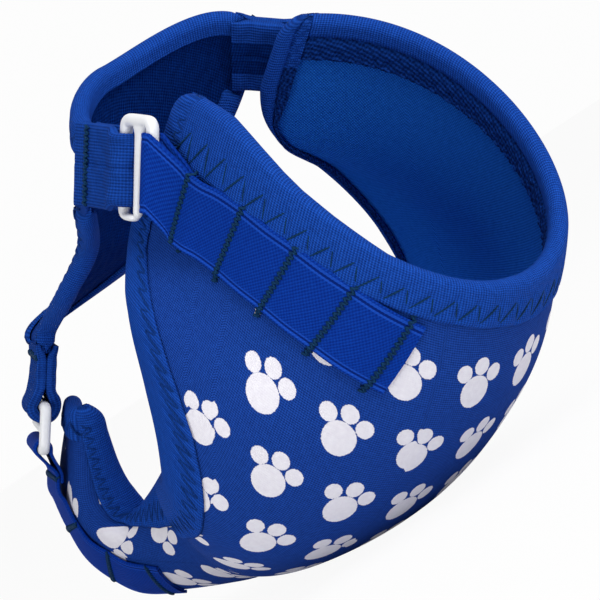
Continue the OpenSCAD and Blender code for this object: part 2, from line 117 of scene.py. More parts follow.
def strip_rings(path, off, widths, top, bottom):
    """Rings of a strip: the path moved by its offset times top on one face and bottom on the other.

    Returns each ring point's place in the path's plane, its width, and its place on the flat cloth.
    """
    upper = path[:, None] - off[:, None] * top[..., None]
    lower = path[:, None] + off[:, None] * bottom[..., None]
    rings = np.concatenate([upper, lower[:, ::-1]], 1)
    width = np.broadcast_to(np.concatenate([widths, widths[::-1]]), rings.shape[:2])
    run = np.broadcast_to(run_table(path)[:, None], width.shape)
    return rings, width, np.stack([run, width, 0 * width], -1)


# %% [markdown]
# ## The cut of the cup
# The cup is drawn as it is worn, front towards +X and the far side towards +Y, in millimetres.
# Each row below is one line across the garment, from the waist to the tail tip: its middle, how
# far it runs level there, a guide point, and its edge point. The last two entries are what the far
# half adds, because the far wing lies a little further back and higher than the near one.
# A table of such lines is how a pattern cutter would measure the piece too.

# %% Rows of the cup
WING, LEG, CROTCH, TAIL, TAIL_SIDE, TAIL_TOP = 38, 79, 32, 17, 15, 62
SAME = ((0, 0, 0), (0, 0, 0))
ROWS = [
    ((86, 150), 58, (35, WING + 29, 205), (-20, WING, 202), (-4.5, 0, 10), (-9, 0, 0)),
    ((80, 112), 64, (30, WING + 42, 152), (-33, WING + 4, 160), (-4.5, 0, 10), (-9, 0, 0)),
    ((69, 86), 58, (30, LEG + 15, 117), (-26, LEG - 17, 140), (0, 0, 10 / 3), (-4.5, 0, 10 / 3)),
    ((53, 62), 56, (26, LEG + 13, 88), (-11, LEG - 4, 117), *SAME),
    ((31, 42), 50, (12, LEG + 5, 64), (-2, LEG, 92), *SAME),
    ((3, 22), 38, (-6, LEG - 14, 46), (-14, LEG - 15, 71), *SAME),
    ((-29, 6), 24, (-36, CROTCH + 4, 26), (-40, CROTCH, 44), *SAME),
    ((-70, -2), TAIL, (-72, TAIL + 3, 1), (-70 + TAIL_SIDE / 3, TAIL, TAIL_SIDE), *SAME),
    ((-94, 17), TAIL, (-93, TAIL + 2, 18), (-95 + TAIL_SIDE, TAIL, 20 + TAIL_SIDE / 2),
     (0, 0, -3), (-4, 0, -3)),
    ((-91, TAIL_TOP), TAIL - 1, (-90, TAIL + 1, TAIL_TOP), (-98 + TAIL_SIDE, TAIL - 2, TAIL_TOP + 4),
     (0, 2, -8), (0, 1, -11)),
]
LAST = len(ROWS) - 1
# Degrees that the tail rolls about its length, that it leans, and that the whole part tips to rest.
TAIL_ROLL, TAIL_LEAN, REST_TILT = 50, 20, 40
# Share of the roll that the tail tip gives back, and how far the tail lies over to the near side.
TIP_UNROLL, TAIL_SLIDE = 0.28, 4
# Depth of the flat that the belly rests on.
BELLY_FLAT = 1.0
# Heights of the cloth, the lining and the binding leaves off the patch.
PANEL_IN, PANEL_OUT, LINING_OUT, LINING_IN = 0.15, 1.75, -0.15, -1.45
LEAF_T, LEAF_OUT, LEAF_IN = 1.4, 2.05, -1.75
# The cloth stops this far inside the garment's edges, and a little more at the tail tip.
EDGE_IN, TIP_IN = 1.8, 0.2


def turned(q, axis, degrees):
    """Points turned about an axis through the origin: along-axis share kept, the rest rotated."""
    a = np.radians(degrees)
    kept = axis * (q @ axis)[..., None] * (1 - np.cos(a))
    return q * np.cos(a) + np.cross(axis, q) * np.sin(a) + kept


def tipped(p):
    """Worn stance to resting stance: a forward tip about the Y axis that lays the belly down."""
    a = np.radians(REST_TILT)
    x, y, z = np.moveaxis(np.asarray(p, float), -1, 0)
    return np.stack([np.cos(a) * x + np.sin(a) * z, y, np.cos(a) * z - np.sin(a) * x], -1)


def cup_net():
    """Guide points of each row's two halves; the tail rows roll, lean and slide, and all are tipped."""
    mids = np.array([[r[0][0], 0, r[0][1]] for r in ROWS], float)
    k = np.arange(LAST + 1)
    turning = ease((k - 4.5) / 2.5)
    roll = TAIL_ROLL * turning * (1 - TIP_UNROLL * ease((k - 7) / 2))
    lean = -TAIL_LEAN * ease((k - 6) / 2)
    slide = -TAIL_SLIDE * turning
    net = np.zeros((LAST + 1, 2, 4, 3))
    for r, (_, reach, guide, edge, far_guide, far_edge) in enumerate(ROWS):
        axis = unit(mids[min(r + 1, LAST)] - mids[max(r - 1, 0)])
        for half, side in enumerate((-1, 1)):
            ends = np.array([guide, edge]) + (side > 0) * np.array([far_guide, far_edge])
            q = np.array([mids[r], mids[r] + [0, side * reach, 0], *(ends * [1, side, 1])]) - mids[r]
            q = turned(turned(q, axis, roll[r]), np.array([1.0, 0, 0]), lean[r])
            net[r, half] = tipped(mids[r] + q + [0, slide[r], 0])
    return net


# %% [markdown]
# ## One patch function for all the cloth
# Every cloth surface here is a patch with two coordinates: u counts rows, and v goes from -1 at
# the near edge over 0 in the middle to 1 at the far edge. Blender has surface objects for this,
# but a plain numpy function keeps the same points as the solids and can be asked for any place.

# %% Patch functions
NUDGE = 0.01
# An inset never counts a half row as shorter than this.
LEAST_HALF = 22.1


def patch(net, u, v):
    """Catmull-Rom blend of the four rows around u, and then the cubic curve that results, followed to |v|."""
    u, v = spread(u, v)
    ext = np.concatenate([2 * net[:1] - net[1:2], net, 2 * net[-1:] - net[-2:-1]])
    i = np.clip(np.floor(u).astype(int), 0, len(net) - 2)
    f, t = u - i, np.abs(v)
    shares = [-f + 2 * f**2 - f**3, 2 - 5 * f**2 + 3 * f**3, f + 4 * f**2 - 3 * f**3, f**3 - f**2]
    w = np.stack(shares, -1) / 2
    b = np.stack([(1 - t) ** 3, 3 * t * (1 - t) ** 2, 3 * t**2 * (1 - t), t**3], -1)
    rows = ext[i[..., None] + np.arange(4), (v >= 0).astype(int)[..., None]]
    return np.einsum("...k,...m,...kmc->...c", w, b, rows)


def along(net, u, v):
    """Change of the patch point with u, from two close points."""
    return (patch(net, u + NUDGE, v) - patch(net, u - NUDGE, v)) / (2 * NUDGE)


def across(net, u, v):
    """Change of the patch point with v, one-sided at the edges."""
    c = np.clip(v, -1, 1)
    lo, hi = np.maximum(c - NUDGE, -1), np.minimum(c + NUDGE, 1)
    return (patch(net, u, hi) - patch(net, u, lo)) / (hi - lo)[..., None]


def outward(net, u, v):
    """Unit normal of the patch: along crossed with across."""
    u, v = spread(u, v)
    return unit(np.cross(along(net, u, v), across(net, u, v)))


def lifted(net, u, v, n):
    """Patch point moved n millimetres along the normal."""
    return patch(net, u, v) + np.asarray(n, float)[..., None] * outward(net, u, v)


def u_in(net, v, s):
    """Row coordinate s millimetres in from the first edge."""
    return s / size(along(net, 0 * v, v))


def u_end(net, v, s):
    """Row coordinate s millimetres in from the last edge."""
    return len(net) - 1 - s / size(along(net, 0 * v + len(net) - 1, v))


def v_in(net, u, side, s):
    """Cross coordinate s millimetres in from the near (-1) or far (1) edge."""
    return side * (1 - s / np.maximum(size(across(net, u, 0 * u + side)), LEAST_HALF))


# %% Put the cup on the ground
raw = cup_net()
belly = crossed(np.arange(2, 5.01, 0.25), np.arange(-0.4, 0.41, 0.1))
whole = crossed(np.arange(0, LAST + 0.01, 0.25), np.arange(-1, 1.01, 0.25))
FLOOR_Z = lifted(raw, *belly, PANEL_OUT)[..., 2].min() + BELLY_FLAT
reach = lifted(raw, *whole, LEAF_OUT + LEAF_T)[..., 0]
SHIFT = np.array([(reach.min() + reach.max()) / 2, 0, FLOOR_Z])
CUP = raw - SHIFT
print("cup shift:", np.round(SHIFT, 2))


def rested(p):
    """Worn millimetres to the resting frame: tipped, then set on the ground with the middle at the origin."""
    return tipped(p) - SHIFT


# %% [markdown]
# ## The camera
# The picture was taken from 30 degrees round and 24 degrees above the worn garment with a long
# lens. The part rests on its belly, so the camera takes the same tip as the cloth, and the
# picture keeps the worn stance.

# %% Camera
CAM_TURN, CAM_RISE = np.radians(30), np.radians(24)
CAM_AWAY, AIM_HEIGHT, LENS, SENSOR = 850, 119.0, 153, 36


def add_object(name, data):
    """A new object that shows the data, linked to the scene."""
    new = bpy.data.objects.new(name, data)
    bpy.context.scene.collection.objects.link(new)
    return new


def standing(x, y, z, at):
    """Matrix of an object at a place in metres, with the three axes as its columns."""
    m = np.eye(4)
    m[:3] = np.stack([x, y, z, at], 1)
    return Matrix(m.tolist())


level = np.cos(CAM_RISE)
cam_back = np.array([np.sin(CAM_TURN) * level, -np.cos(CAM_TURN) * level, np.sin(CAM_RISE)])
cam_right = np.array([np.cos(CAM_TURN), np.sin(CAM_TURN), 0.0])
CAM_AT = rested(np.array([0, 0, AIM_HEIGHT]) + CAM_AWAY * cam_back)
CAM_RIGHT, CAM_UP, CAM_BACK = tipped(cam_right), tipped(np.cross(cam_back, cam_right)), tipped(cam_back)

camera = add_object("camera", bpy.data.cameras.new("camera"))
camera.data.lens, camera.data.sensor_width = LENS, SENSOR
camera.data.clip_start, camera.data.clip_end = 0.01, 100
camera.matrix_world = standing(CAM_RIGHT, CAM_UP, CAM_BACK, CAM_AT * MM)
bpy.context.scene.camera = camera
print("camera at", np.round(CAM_AT, 1))

# %% [markdown]
# ## From arrays to pieces
# A grid of points becomes a mesh by joining neighbours into quads. Each point also carries a
# "cloth" attribute, its place on the flat cloth in millimetres, so that knit and prints follow the
# surface and keep their real size wherever it bends.

# %% Mesh helpers
def grid_quads(rows, cols, closed):
    """Quads between neighbours of a rows by cols grid; closed joins the last column to the first."""
    r, c = crossed(np.arange(rows - 1), np.arange(cols if closed else cols - 1))
    n = (c + 1) % cols
    corners = [r * cols + c, r * cols + n, (r + 1) * cols + n, (r + 1) * cols + c]
    return np.stack(corners, -1).reshape(-1, 4)


def end_caps(k, m, start=0):
    """Two faces that close a sweep of k rings of m points: its first ring, and its last ring backwards."""
    return [list(range(start, start + m)), list(range(start + k * m - 1, start + (k - 1) * m - 1, -1))]


def volume(points, faces):
    """Signed volume of a closed mesh: the sum of the tetrahedra from the origin to each triangle."""
    p = points[faces]
    t1 = np.einsum("ij,ij->i", p[:, 0], np.cross(p[:, 1], p[:, 2]))
    t2 = np.einsum("ij,ij->i", p[:, 0], np.cross(p[:, 2], p[:, 3]))
    return (t1 + t2).sum() / 6


def make_piece(name, points, quads, cloth, material, body, slot, replaces=(), caps=()):
    """Mesh from points in millimetres, none below the floor, faces outwards; it rides on its body."""
    points = points.reshape(-1, 3)
    points = np.where(np.arange(3) == 2, np.maximum(points, 0.0), points)
    flip = volume(points, quads) < 0
    faces = (quads[:, ::-1] if flip else quads).tolist()
    faces += [list(c[::-1]) if flip else list(c) for c in caps]
    mesh = bpy.data.meshes.new(name)
    mesh.from_pydata((points * MM).tolist(), [], faces)
    mesh.polygons.foreach_set("use_smooth", [True] * len(mesh.polygons))
    place = mesh.attributes.new("cloth", "FLOAT_VECTOR", "POINT")
    place.data.foreach_set("vector", cloth.reshape(-1, 3).astype(np.float32).ravel())
    mesh.update()
    mesh.materials.append(material)
    piece = add_object(name, mesh)
    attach(piece, body)
    if replaces:
        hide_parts(*replaces)
    print(f"{name}: {len(points)} points, {len(faces)} faces")
    return piece


def make_sweep(name, rings, cloth, *rest, **more):
    """A closed ring of points carried through stations, with a flat face on each end."""
    k, m = rings.shape[:2]
    return make_piece(name, rings, grid_quads(k, m, True), cloth, *rest, caps=end_caps(k, m), **more)


def make_slab(name, top, bottom, cloth, *rest, **more):
    """Two stacked grids joined round their rim: a sheet of cloth with its real thickness."""
    r, c = top.shape[:2]
    skin = grid_quads(r, c, False)
    ids = np.arange(r * c).reshape(r, c)
    rim = np.concatenate([ids[0, :-1], ids[:-1, -1], ids[-1, :0:-1], ids[:0:-1, 0]])
    nxt = np.roll(rim, -1)
    walls = np.stack([rim, rim + r * c, nxt + r * c, nxt], -1)
    quads = np.concatenate([skin, skin[:, ::-1] + r * c, walls])
    points = np.concatenate([top.reshape(-1, 3), bottom.reshape(-1, 3)])
    return make_piece(name, points, quads, np.concatenate([cloth.reshape(-1, 3)] * 2), *rest, **more)


def partly(piece, material, marked, ends=(0, 0)):
    """A second material on the marked quads of a sweep, and on its first and last face where ends has a 1."""
    piece.data.materials.append(material)
    index = np.concatenate([marked.ravel(), ends]).astype(np.int32)
    piece.data.polygons.foreach_set("material_index", index)


# %% [markdown]
# ## Finishes
# All cloth here is polyester knit, which is matt with a little fuzz, so each finish is a rough
# surface with a knit drawn at its real stitch size. The photograph shows stitches of about 0.8 mm
# on the cup and ribs of about 1 mm on the bindings. Finer yarn would vanish.

# %% Finish helpers
# Shares of the first and second ripple in a stitch, and of stitch and mottle in the tone.
FIRST_SHARE, SECOND_SHARE, STITCH_TONE, MOTTLE_TONE, TONE_SHIFT = 0.6, 0.4, 0.95, 0.65, -0.3


def linear(hex_colour, alpha=1.0):
    """sRGB hex to linear colour: the display curve is undone for each channel."""
    c = np.array([int(hex_colour[i : i + 2], 16) for i in (1, 3, 5)]) / 255
    return (*np.where(c <= 0.04045, c / 12.92, ((c + 0.055) / 1.055) ** 2.4), alpha)


def add(tree, kind, sockets=None, **settings):
    """One node with its settings; a socket takes a value or another node's output."""
    node = tree.nodes.new("ShaderNode" + kind)
    for key, value in settings.items():
        setattr(node, key, value)
    for key, value in (sockets or {}).items():
        if isinstance(value, bpy.types.NodeSocket):
            tree.links.new(value, node.inputs[key])
        else:
            node.inputs[key].default_value = value
    return node


def maths(tree, operation, *values, clamp=False):
    """Output of one arithmetic node on values or other nodes' outputs."""
    return add(tree, "Math", dict(enumerate(values)), operation=operation, use_clamp=clamp).outputs[0]


def blend(tree, share, first, second):
    """Output of a colour mix that goes from first to second with the share."""
    return add(tree, "Mix", {0: share, 6: first, 7: second}, data_type="RGBA").outputs[2]


def noise(tree, place, scale, detail, **more):
    """Output of a noise over a place."""
    return add(tree, "TexNoise", {"Vector": place, "Scale": scale, "Detail": detail, **more}).outputs[0]


def relief(tree, strength, distance, height):
    """Output of a bump: the normal tilted as if the height stood out by the distance."""
    return add(tree, "Bump", {"Strength": strength, "Distance": distance, "Height": height}).outputs[0]


def new_finish(name, **sockets):
    """A material with a single Principled shader; returns the material, its tree and the shader."""
    material = bpy.data.materials.new(name)
    material.use_nodes = True
    tree = material.node_tree
    shader = tree.nodes["Principled BSDF"]
    for key, value in sockets.items():
        shader.inputs[key.replace("_", " ")].default_value = value
    return material, tree, shader


def ripple(tree, place, direction, pitch):
    """0.5 + 0.5 sin of the distance along a direction, one wave for each pitch in millimetres."""
    d = np.array(direction, float) / np.linalg.norm(direction) * 2 * np.pi / pitch
    distance = add(tree, "VectorMath", {0: place, 1: tuple(d)}, operation="DOT_PRODUCT").outputs["Value"]
    return maths(tree, "MULTIPLY_ADD", maths(tree, "SINE", distance), 0.5, 0.5)


def knit_finish(name, dark, light, pitches, directions, bump, roughness=0.9, shine=0.06):
    """Two crossed ripples give the stitches; their sum and a soft mottle go from dark to light yarn."""
    material, tree, shader = new_finish(name, Roughness=roughness, Specular_IOR_Level=shine)
    place = add(tree, "Attribute", attribute_name="cloth").outputs["Vector"]
    first, second = (ripple(tree, place, d, pitch) for d, pitch in zip(directions, pitches))
    stitch = maths(tree, "MULTIPLY_ADD", first, FIRST_SHARE, maths(tree, "MULTIPLY", second, SECOND_SHARE))
    mottle = noise(tree, place, 0.5, 4.0, Roughness=0.65)
    woven = maths(tree, "MULTIPLY_ADD", stitch, STITCH_TONE, TONE_SHIFT)
    share = maths(tree, "MULTIPLY_ADD", mottle, MOTTLE_TONE, woven, clamp=True)
    colour = blend(tree, share, linear(dark), linear(light))
    tree.links.new(colour, shader.inputs["Base Color"])
    tree.links.new(relief(tree, 1.0, bump * MM, stitch), shader.inputs["Normal"])
    return material, tree, shader, place, colour


# %% Plain knits and thread
RUN, CROSS, SLANT, BACK_SLANT = (1, 0, 0), (0, 1, 0), (1, 1, 0), (1, -1, 0)
# Folded jersey: ribs of 1 mm run over the edge, so light and dark lines cross the binding.
binding_knit = knit_finish("polyester jersey, ribbed binding", "#092a72", "#1d55be",
                           (1.0, 0.75), (RUN, CROSS), 0.3)[0]
# The jersey's cut inner border, where the loops have sprung open: dark between loose pale threads.
pile_knit = knit_finish("polyester jersey, raw border", "#031a50", "#103f94",
                        (1.7, 1.3), ((0.3, 1, 0), (1, -0.4, 0)), 0.5)[0]
# The same jersey where it is folded double round a hook bar: pressed flat, so a little deeper in tone.
fold_knit = knit_finish("polyester jersey, folded strap end", "#08276a", "#194cac",
                        (1.0, 0.8), (CROSS, RUN), 0.3)[0]
# Brushed tricot: a soft slanted grain without shine, a clear mid blue where light reaches it.
lining_knit = knit_finish("brushed tricot lining", "#0a45a0", "#2576e0",
                          (0.9, 0.8), (SLANT, BACK_SLANT), 0.12, 0.95, 0.03)[0]
# Brushed loops in a near-navy colour, darker than the cup's lining: painted shade for the shadow inside the
# strap.
strap_lining_painted_shade = knit_finish("brushed loop tricot", "#02174e", "#08327e",
                                (0.9, 1.1), ((1, 0.2, 0), CROSS), 0.3, 0.95, 0.02)[0]
# Jersey laminated to neoprene: fine rows along the cloth, smooth between them.
strap_knit = knit_finish("polyester jersey on neoprene", "#0d2a70", "#1d48a4",
                         (0.8, 0.75), ((0.05, 1, 0), RUN), 0.22)[0]
# Twisted thread: dark teal with a slanted twist that catches a little light.
sewing_thread = knit_finish("twisted polyester sewing thread", "#051b3c", "#0e395e",
                            (0.9, 2.0), (SLANT, CROSS), 0.15, 0.7, 0.08)[0]
# Thread dyed with the binding: only a shade darker than the jersey round it.
binding_thread = knit_finish("dyed polyester sewing thread", "#08225a", "#123a80",
                             (0.9, 2.0), (SLANT, CROSS), 0.15, 0.8, 0.05)[0]

# %% Woven elastic
# Painted shade in the groove along each tape edge, and painted highlight on either side of it: distance from
# the middle, half width, strength and tone.
SELVEDGE_SHADE_AND_HIGHLIGHT = ((10.5, 0.32, 0.75, "#01185f"), (11.35, 0.4, 0.5, "#2158cc"), (9.8, 0.3, 0.45, "#2158cc"))


def elastic_finish():
    """Brick weave from two slanted ripples; near each edge a painted shade line in the groove lies between
    two painted highlight lines.
    """
    material, tree, shader, place, colour = knit_finish(
        "woven polyester elastic", "#02247c", "#083ca0",
        (0.95, 0.95), ((1, 0.8, 0), (1, -0.8, 0)), 0.16, 0.75, 0.05)
    edge = maths(tree, "ABSOLUTE", add(tree, "SeparateXYZ", {0: place}).outputs[1])
    # Dark lines are painted shade in the groove, and light lines are painted highlight on its shoulders.
    for middle, half, strength, tone in SELVEDGE_SHADE_AND_HIGHLIGHT:
        line = maths(tree, "COMPARE", edge, middle, half)
        colour = blend(tree, maths(tree, "MULTIPLY", line, strength), colour, linear(tone))
    tree.links.new(colour, shader.inputs["Base Color"])
    return material


# Elastic: a hard deep blue weave in bricks of about 1 mm, smoother than the knits, with corded edges in
# painted shade and highlight.
elastic_weave = elastic_finish()


# %% Moulded plastic
def acetal_finish():
    """White between two close tones, mixed and faintly embossed by a very fine grain."""
    material, tree, shader = new_finish("moulded white acetal", Roughness=0.32, IOR=1.48)
    grain = noise(tree, add(tree, "TexCoord").outputs["Object"], 900.0, 3.0)
    tree.links.new(blend(tree, grain, linear("#e9ebef"), linear("#f4f5f8")), shader.inputs["Base Color"])
    tree.links.new(relief(tree, 0.3, 0.04 * MM, grain), shader.inputs["Normal"])
    return material


# Acetal: a clean cold white with a soft gloss and a very fine mould grain.
hook_plastic = acetal_finish()

# %% [markdown]
# ## The printed cup cloth
# The print is a plain paw, one round pad with three toes, repeated on a slanted lattice: 27.5 mm
# along a row, 25.6 mm from row to row, each row 11.5 mm further over. A printer would step and
# repeat one motif, so the finish does the same: it folds the cloth place into one cell of the
# lattice and measures the distance to four circles there.

# %% Paw print finish
PAW_STEP, PAW_ROW, PAW_SLIDE, PAW_START = 27.5, 25.6, 11.5, -74.0
# Pad and toes: angle and distance from the pad's middle, and radius.
PAW = ((0, 0, 6.0), (-131, 9.0, 3.1), (-83, 9.2, 3.15), (-40, 9.4, 3.15))
# Half width of the ink's soft border, how far it wanders, and how much of the knit the ink fills.
INK_SOFT, INK_WANDER, INK_FILL = 0.12, 0.7, 0.8
# Places with no print, each as middle and half length across and along: near wing, waist, crotch
# crease and tail tip.
BARE = (((-158, 50), (-86, 50)), ((-25, 45), (-138, 50)), ((-54, 10), (52, 10)), ((0, 200), (212, 50)))


def printed_finish():
    """The cup's knit, mixed with white ink where the folded cell place lies inside the pad or a toe."""
    material, tree, shader, place, colour = knit_finish(
        "polyester jersey on neoprene, paw print", "#0b296f", "#1f4dac",
        (0.78, 0.9), ((-0.05, 1, 0), RUN), 0.22)

    def calc(*values):
        return maths(tree, *values)

    over, down, _ = add(tree, "SeparateXYZ", {0: place}).outputs
    start = calc("SUBTRACT", down, PAW_START)
    row = calc("ROUND", calc("DIVIDE", start, PAW_ROW))
    y = calc("MULTIPLY_ADD", row, -PAW_ROW, start)
    slid = calc("MULTIPLY_ADD", row, -PAW_SLIDE, over)
    x = calc("MULTIPLY_ADD", calc("ROUND", calc("DIVIDE", slid, PAW_STEP)), -PAW_STEP, slid)
    ragged = calc("MULTIPLY_ADD", noise(tree, place, 1.6, 2.0), INK_WANDER, -INK_WANDER / 2)
    ink = 0.0
    for angle, distance, radius in PAW:
        turn = np.radians(angle)
        dx = calc("SUBTRACT", x, distance * np.cos(turn))
        dy = calc("SUBTRACT", y, distance * np.sin(turn))
        far = calc("SQRT", calc("MULTIPLY_ADD", dx, dx, calc("MULTIPLY", dy, dy)))
        inside = calc("SUBTRACT", radius, calc("ADD", far, ragged))
        limits = {0: inside, 1: -INK_SOFT, 2: INK_SOFT, 3: 0.0, 4: 1.0}
        circle = add(tree, "MapRange", limits, interpolation_type="SMOOTHSTEP").outputs[0]
        ink = calc("MAXIMUM", ink, circle)
    for (across_at, across_half), (along_at, along_half) in BARE:
        bare = calc("MULTIPLY", calc("COMPARE", over, across_at, across_half),
                    calc("COMPARE", down, along_at, along_half))
        ink = calc("MULTIPLY", ink, calc("SUBTRACT", 1.0, bare))
    white = blend(tree, noise(tree, place, 0.5, 2.0), linear("#dfdbe6"), linear("#f0eff5"))
    tree.links.new(blend(tree, ink, colour, white), shader.inputs["Base Color"])
    height = next(node for node in tree.nodes if node.type == "BUMP").inputs["Height"]
    open_knit = calc("MULTIPLY_ADD", ink, -INK_FILL, 1.0)
    tree.links.new(calc("MULTIPLY", height.links[0].from_socket, open_knit), height)
    return material


# Printed jersey: the same fine rows as the strap, with soft-edged white ink that hides them.
cup_print = printed_finish()

# %% Cup cloth and lining
CORNER_R, BELLY_ROW, CUP_POINTS = 9.0, 3.5, (190, 241)
# Over the near hip the edge is drawn in, so the waist dips there.
waist_draw = curve([-0.85, -0.77, -0.71, -0.66, -0.58, -0.44, -0.37, -0.29, -0.21, -0.1],
                   [0, 3, 5, 6, 6.3, 6, 4.6, 3, 1.5, 0])
# The far wing's lower corner is cut rounder than its panel.
far_draw = curve([0.6, 0.85, 1.1, 1.25, 1.5, 1.84], [0, 2.5, 5.5, 6, 4, 0])


def rounding(d):
    """How far a corner of radius CORNER_R draws in at a distance d from the other edge."""
    gap = CORNER_R - np.clip(d, 0, CORNER_R)
    return CORNER_R - np.sqrt(CORNER_R**2 - gap**2)


def cup_grid(nu, nv):
    """Even grid of patch coordinates inside the sewn edges of the cup, with its four corners rounded."""
    t, j = crossed(np.linspace(0, 1, nu), np.linspace(-1, 1, nv))
    side = np.where(j < 0, -1.0, 1.0)

    def corner(u):
        return rounding((1 - np.abs(j)) * size(across(CUP, u, side)))

    lo = u_in(CUP, j, EDGE_IN + waist_draw(j) + corner(0 * j))
    hi = u_end(CUP, j, EDGE_IN + TIP_IN + corner(0 * j + LAST))
    u = lo + (hi - lo) * t
    return u, np.abs(j) * v_in(CUP, u, side, EDGE_IN + np.where(j > 0, far_draw(u), 0))


def cloth_place(points, u):
    """Flat place of each grid point: length across from the middle column, and along from the belly."""
    nv = points.shape[1]
    a, b = run_table(points, 1), run_table(points, 0)
    belly_at = np.argmin(np.abs(u - BELLY_ROW), axis=0)
    a = a - a[:, nv // 2][:, None]
    return np.stack([a, b - b[belly_at, np.arange(nv)], 0 * a], -1)


def dress(body, net, u, v, out, outer_knit, inner_knit, loops=0.0):
    """Cloth and lining of a body as two slabs on its patch; loops is the height of the lining's pile."""
    outer = lifted(net, u, v, out * PANEL_OUT)
    flat = cloth_place(outer, u)
    cloth = make_slab(body + "_cloth", outer, lifted(net, u, v, out * PANEL_IN), flat,
                      outer_knit, body, body + "_cloth", replaces=[body + "_panel"])
    a, b = flat[..., 0], flat[..., 1]
    pile = loops * np.sin(a * 1.1 + 1.6 * np.sin(b * 0.33)) * np.sin(b * 0.42 + 0.13 * a)
    inside = make_slab(body + "_inside", lifted(net, u, v, out * LINING_OUT),
                       lifted(net, u, v, pile + out * LINING_IN), flat,
                       inner_knit, body, "lining", replaces=[body + "_lining"])
    return cloth, inside


cup_u, cup_v = cup_grid(*CUP_POINTS)
cup_cloth, cup_inside = dress("cup", CUP, cup_u, cup_v, 1, cup_print, lining_knit)

# %% [markdown]
# ## Sewing thread
# A stitch is a short straight run of thread that dives into the cloth at its ends. A thin tube is
# carried over the stitch corners, lowest at each corner, and all of a seam is one mesh.

# %% Thread
THREAD_SIDES = 6


def tube(path, up, radius):
    """Rings round a path: across is square to the run and to up, and the ring turns in that plane."""
    run = unit(np.gradient(path, axis=0))
    side = unit(np.cross(run, up))
    lift = np.cross(side, run)
    t = np.arange(THREAD_SIDES) * 2 * np.pi / THREAD_SIDES
    ring = side[:, None] * np.cos(t)[None, :, None] + lift[:, None] * np.sin(t)[None, :, None]
    return path[:, None] + radius * ring


def stitched_path(corner_a, corner_s, fine):
    """Corners joined by straight runs of `fine` points; returns places and how clear they are of corners."""
    f = np.linspace(0, 1, fine, endpoint=False)
    a = (corner_a[:-1, None] * (1 - f) + corner_a[1:, None] * f).ravel()
    s = (corner_s[:-1, None] * (1 - f) + corner_s[1:, None] * f).ravel()
    return a, s, np.tile(np.sin(np.pi * f), len(corner_a) - 1)


def sewn(name, place, corner_a, corner_s, height, body, radius=0.36, dive=0.7, fine=7, sink=0.0,
         material=sewing_thread, replaces=()):
    """Thread over stitch corners (corner_a, corner_s): it follows the cloth top and dives at each corner.

    Every other stitch lies lower by sink, and all of them wander by as much again.
    """
    a, s, clear = stitched_path(corner_a, corner_s, fine)
    under = 1 - np.repeat(np.arange(len(corner_a) - 1) % 2, fine)
    n = height(a, s) - dive * (1 - np.sqrt(clear))
    n = n - sink * under - 0.5 * sink * (1 + np.sin(a * 0.9) * np.sin(a * 0.37))
    path = place(a, s, n)
    rings = tube(path, place(a, s, n + 1.0) - path, radius)
    cloth = np.stack(spread(run_table(path)[:, None], np.arange(THREAD_SIDES) * 0.4, 0.0), -1)
    return make_sweep(name, rings, cloth, material, body, "thread", replaces=replaces)


# %% [markdown]
# ## Bindings
# A binding is a strip of jersey folded over the raw edge and caught with a zigzag. Its section is
# a soft roll round the edge with a flat leaf on each face. The same section is carried along the
# waist, the leg edges and the tail tip; only the edge it follows and its width change.

# %% Edges that carry a binding
def row_edge(net, inset, out):
    """Place on a patch by v along its first or last edge, as inset says, s in from it and n off it."""
    return lambda t, s, n: lifted(net, inset(net, t, s), t, out * n)


def side_edge(net, side, out):
    """Place on a patch by u along a side edge, s in from it and n off it."""
    return lambda t, s, n: lifted(net, t, v_in(net, t, side, s), out * n)


def measured(edge, t0, t1):
    """The same edge by millimetres run; returns the edge, its length, and the coordinate at a length."""
    t = np.linspace(t0, t1, 400)
    run = run_table(edge(t, 0 * t + 4.0, 0 * t))
    return (lambda a, s, n: edge(np.interp(a, run, t), s, n)), run[-1], (lambda a: np.interp(a, run, t))


def zigzag(length, pitch, low, high, skew):
    """Corner places of a zigzag seam along an edge: down to low and up to high once in each pitch."""
    count = max(int(length / pitch), 1)
    k = np.arange(count) + 0.15
    a = np.stack([k, k + skew], 1).ravel() * length / count
    return a, np.tile([high, low], count)


# %% Section of a binding
# Radius of the roll, step along a band, and the height about which a band's ends close.
ROLL, BAND_STEP, MID_N = 3.6, 0.8, 0.15
# Points on each leaf, on the roll and on the hidden return; the pile starts a little past the roll.
LEAF_POINTS, TURN_POINTS, RETURN_POINTS = 26, 16, 6
PILE = slice(LEAF_POINTS + TURN_POINTS + 8, -RETURN_POINTS)
# A rounded band's ends close over the first length; the second holds no stitch and the third no pile.
END_CLOSE, END_BARE, END_PLAIN = 3.2, 6, 20


def section_place(x, wide):
    """Section numbers to millimetres in from the edge: below 0 they are the roll, from 0 to 1 the leaf."""
    return np.where(x < 0, ROLL + ROLL * x, ROLL + (wide - ROLL) * np.clip(x, 0, 1))


def binding_section(rough):
    """Places (-1 edge, 0 end of roll, 1 leaf border) and heights: outer leaf, roll, inner leaf, return."""
    outer_x, inner_x = np.linspace(1, 0, LEAF_POINTS), np.linspace(0, 1, LEAF_POINTS)
    low = LEAF_IN - 1.5
    crown = 0.7 * np.sin(np.pi * np.clip(outer_x * 0.75 + 0.18, 0, 1))
    outer_n = LEAF_OUT + 0.95 + crown - 0.75 * hump(outer_x, 1, 0.05)
    inner_n = low + rough * 1.1 * hump(inner_x, 0.36, 0.09) + (0.9 - 1.2 * rough) * hump(inner_x, 1, 0.06)
    turn = np.linspace(np.pi / 2, -np.pi / 2, TURN_POINTS + 2)[1:-1]
    roll = (outer_n[-1] + low) / 2 + (outer_n[-1] - low) / 2 * np.sin(turn)
    return_x = np.array([1, 0.5, -0.35, -0.35, 0.5, 1])
    return_n = np.array([LEAF_IN - 0.1] * 3 + [LEAF_OUT + 0.1] * 3)
    places = np.concatenate([outer_x, -np.cos(turn), inner_x, return_x])
    return places, np.concatenate([outer_n, roll, inner_n, return_n])


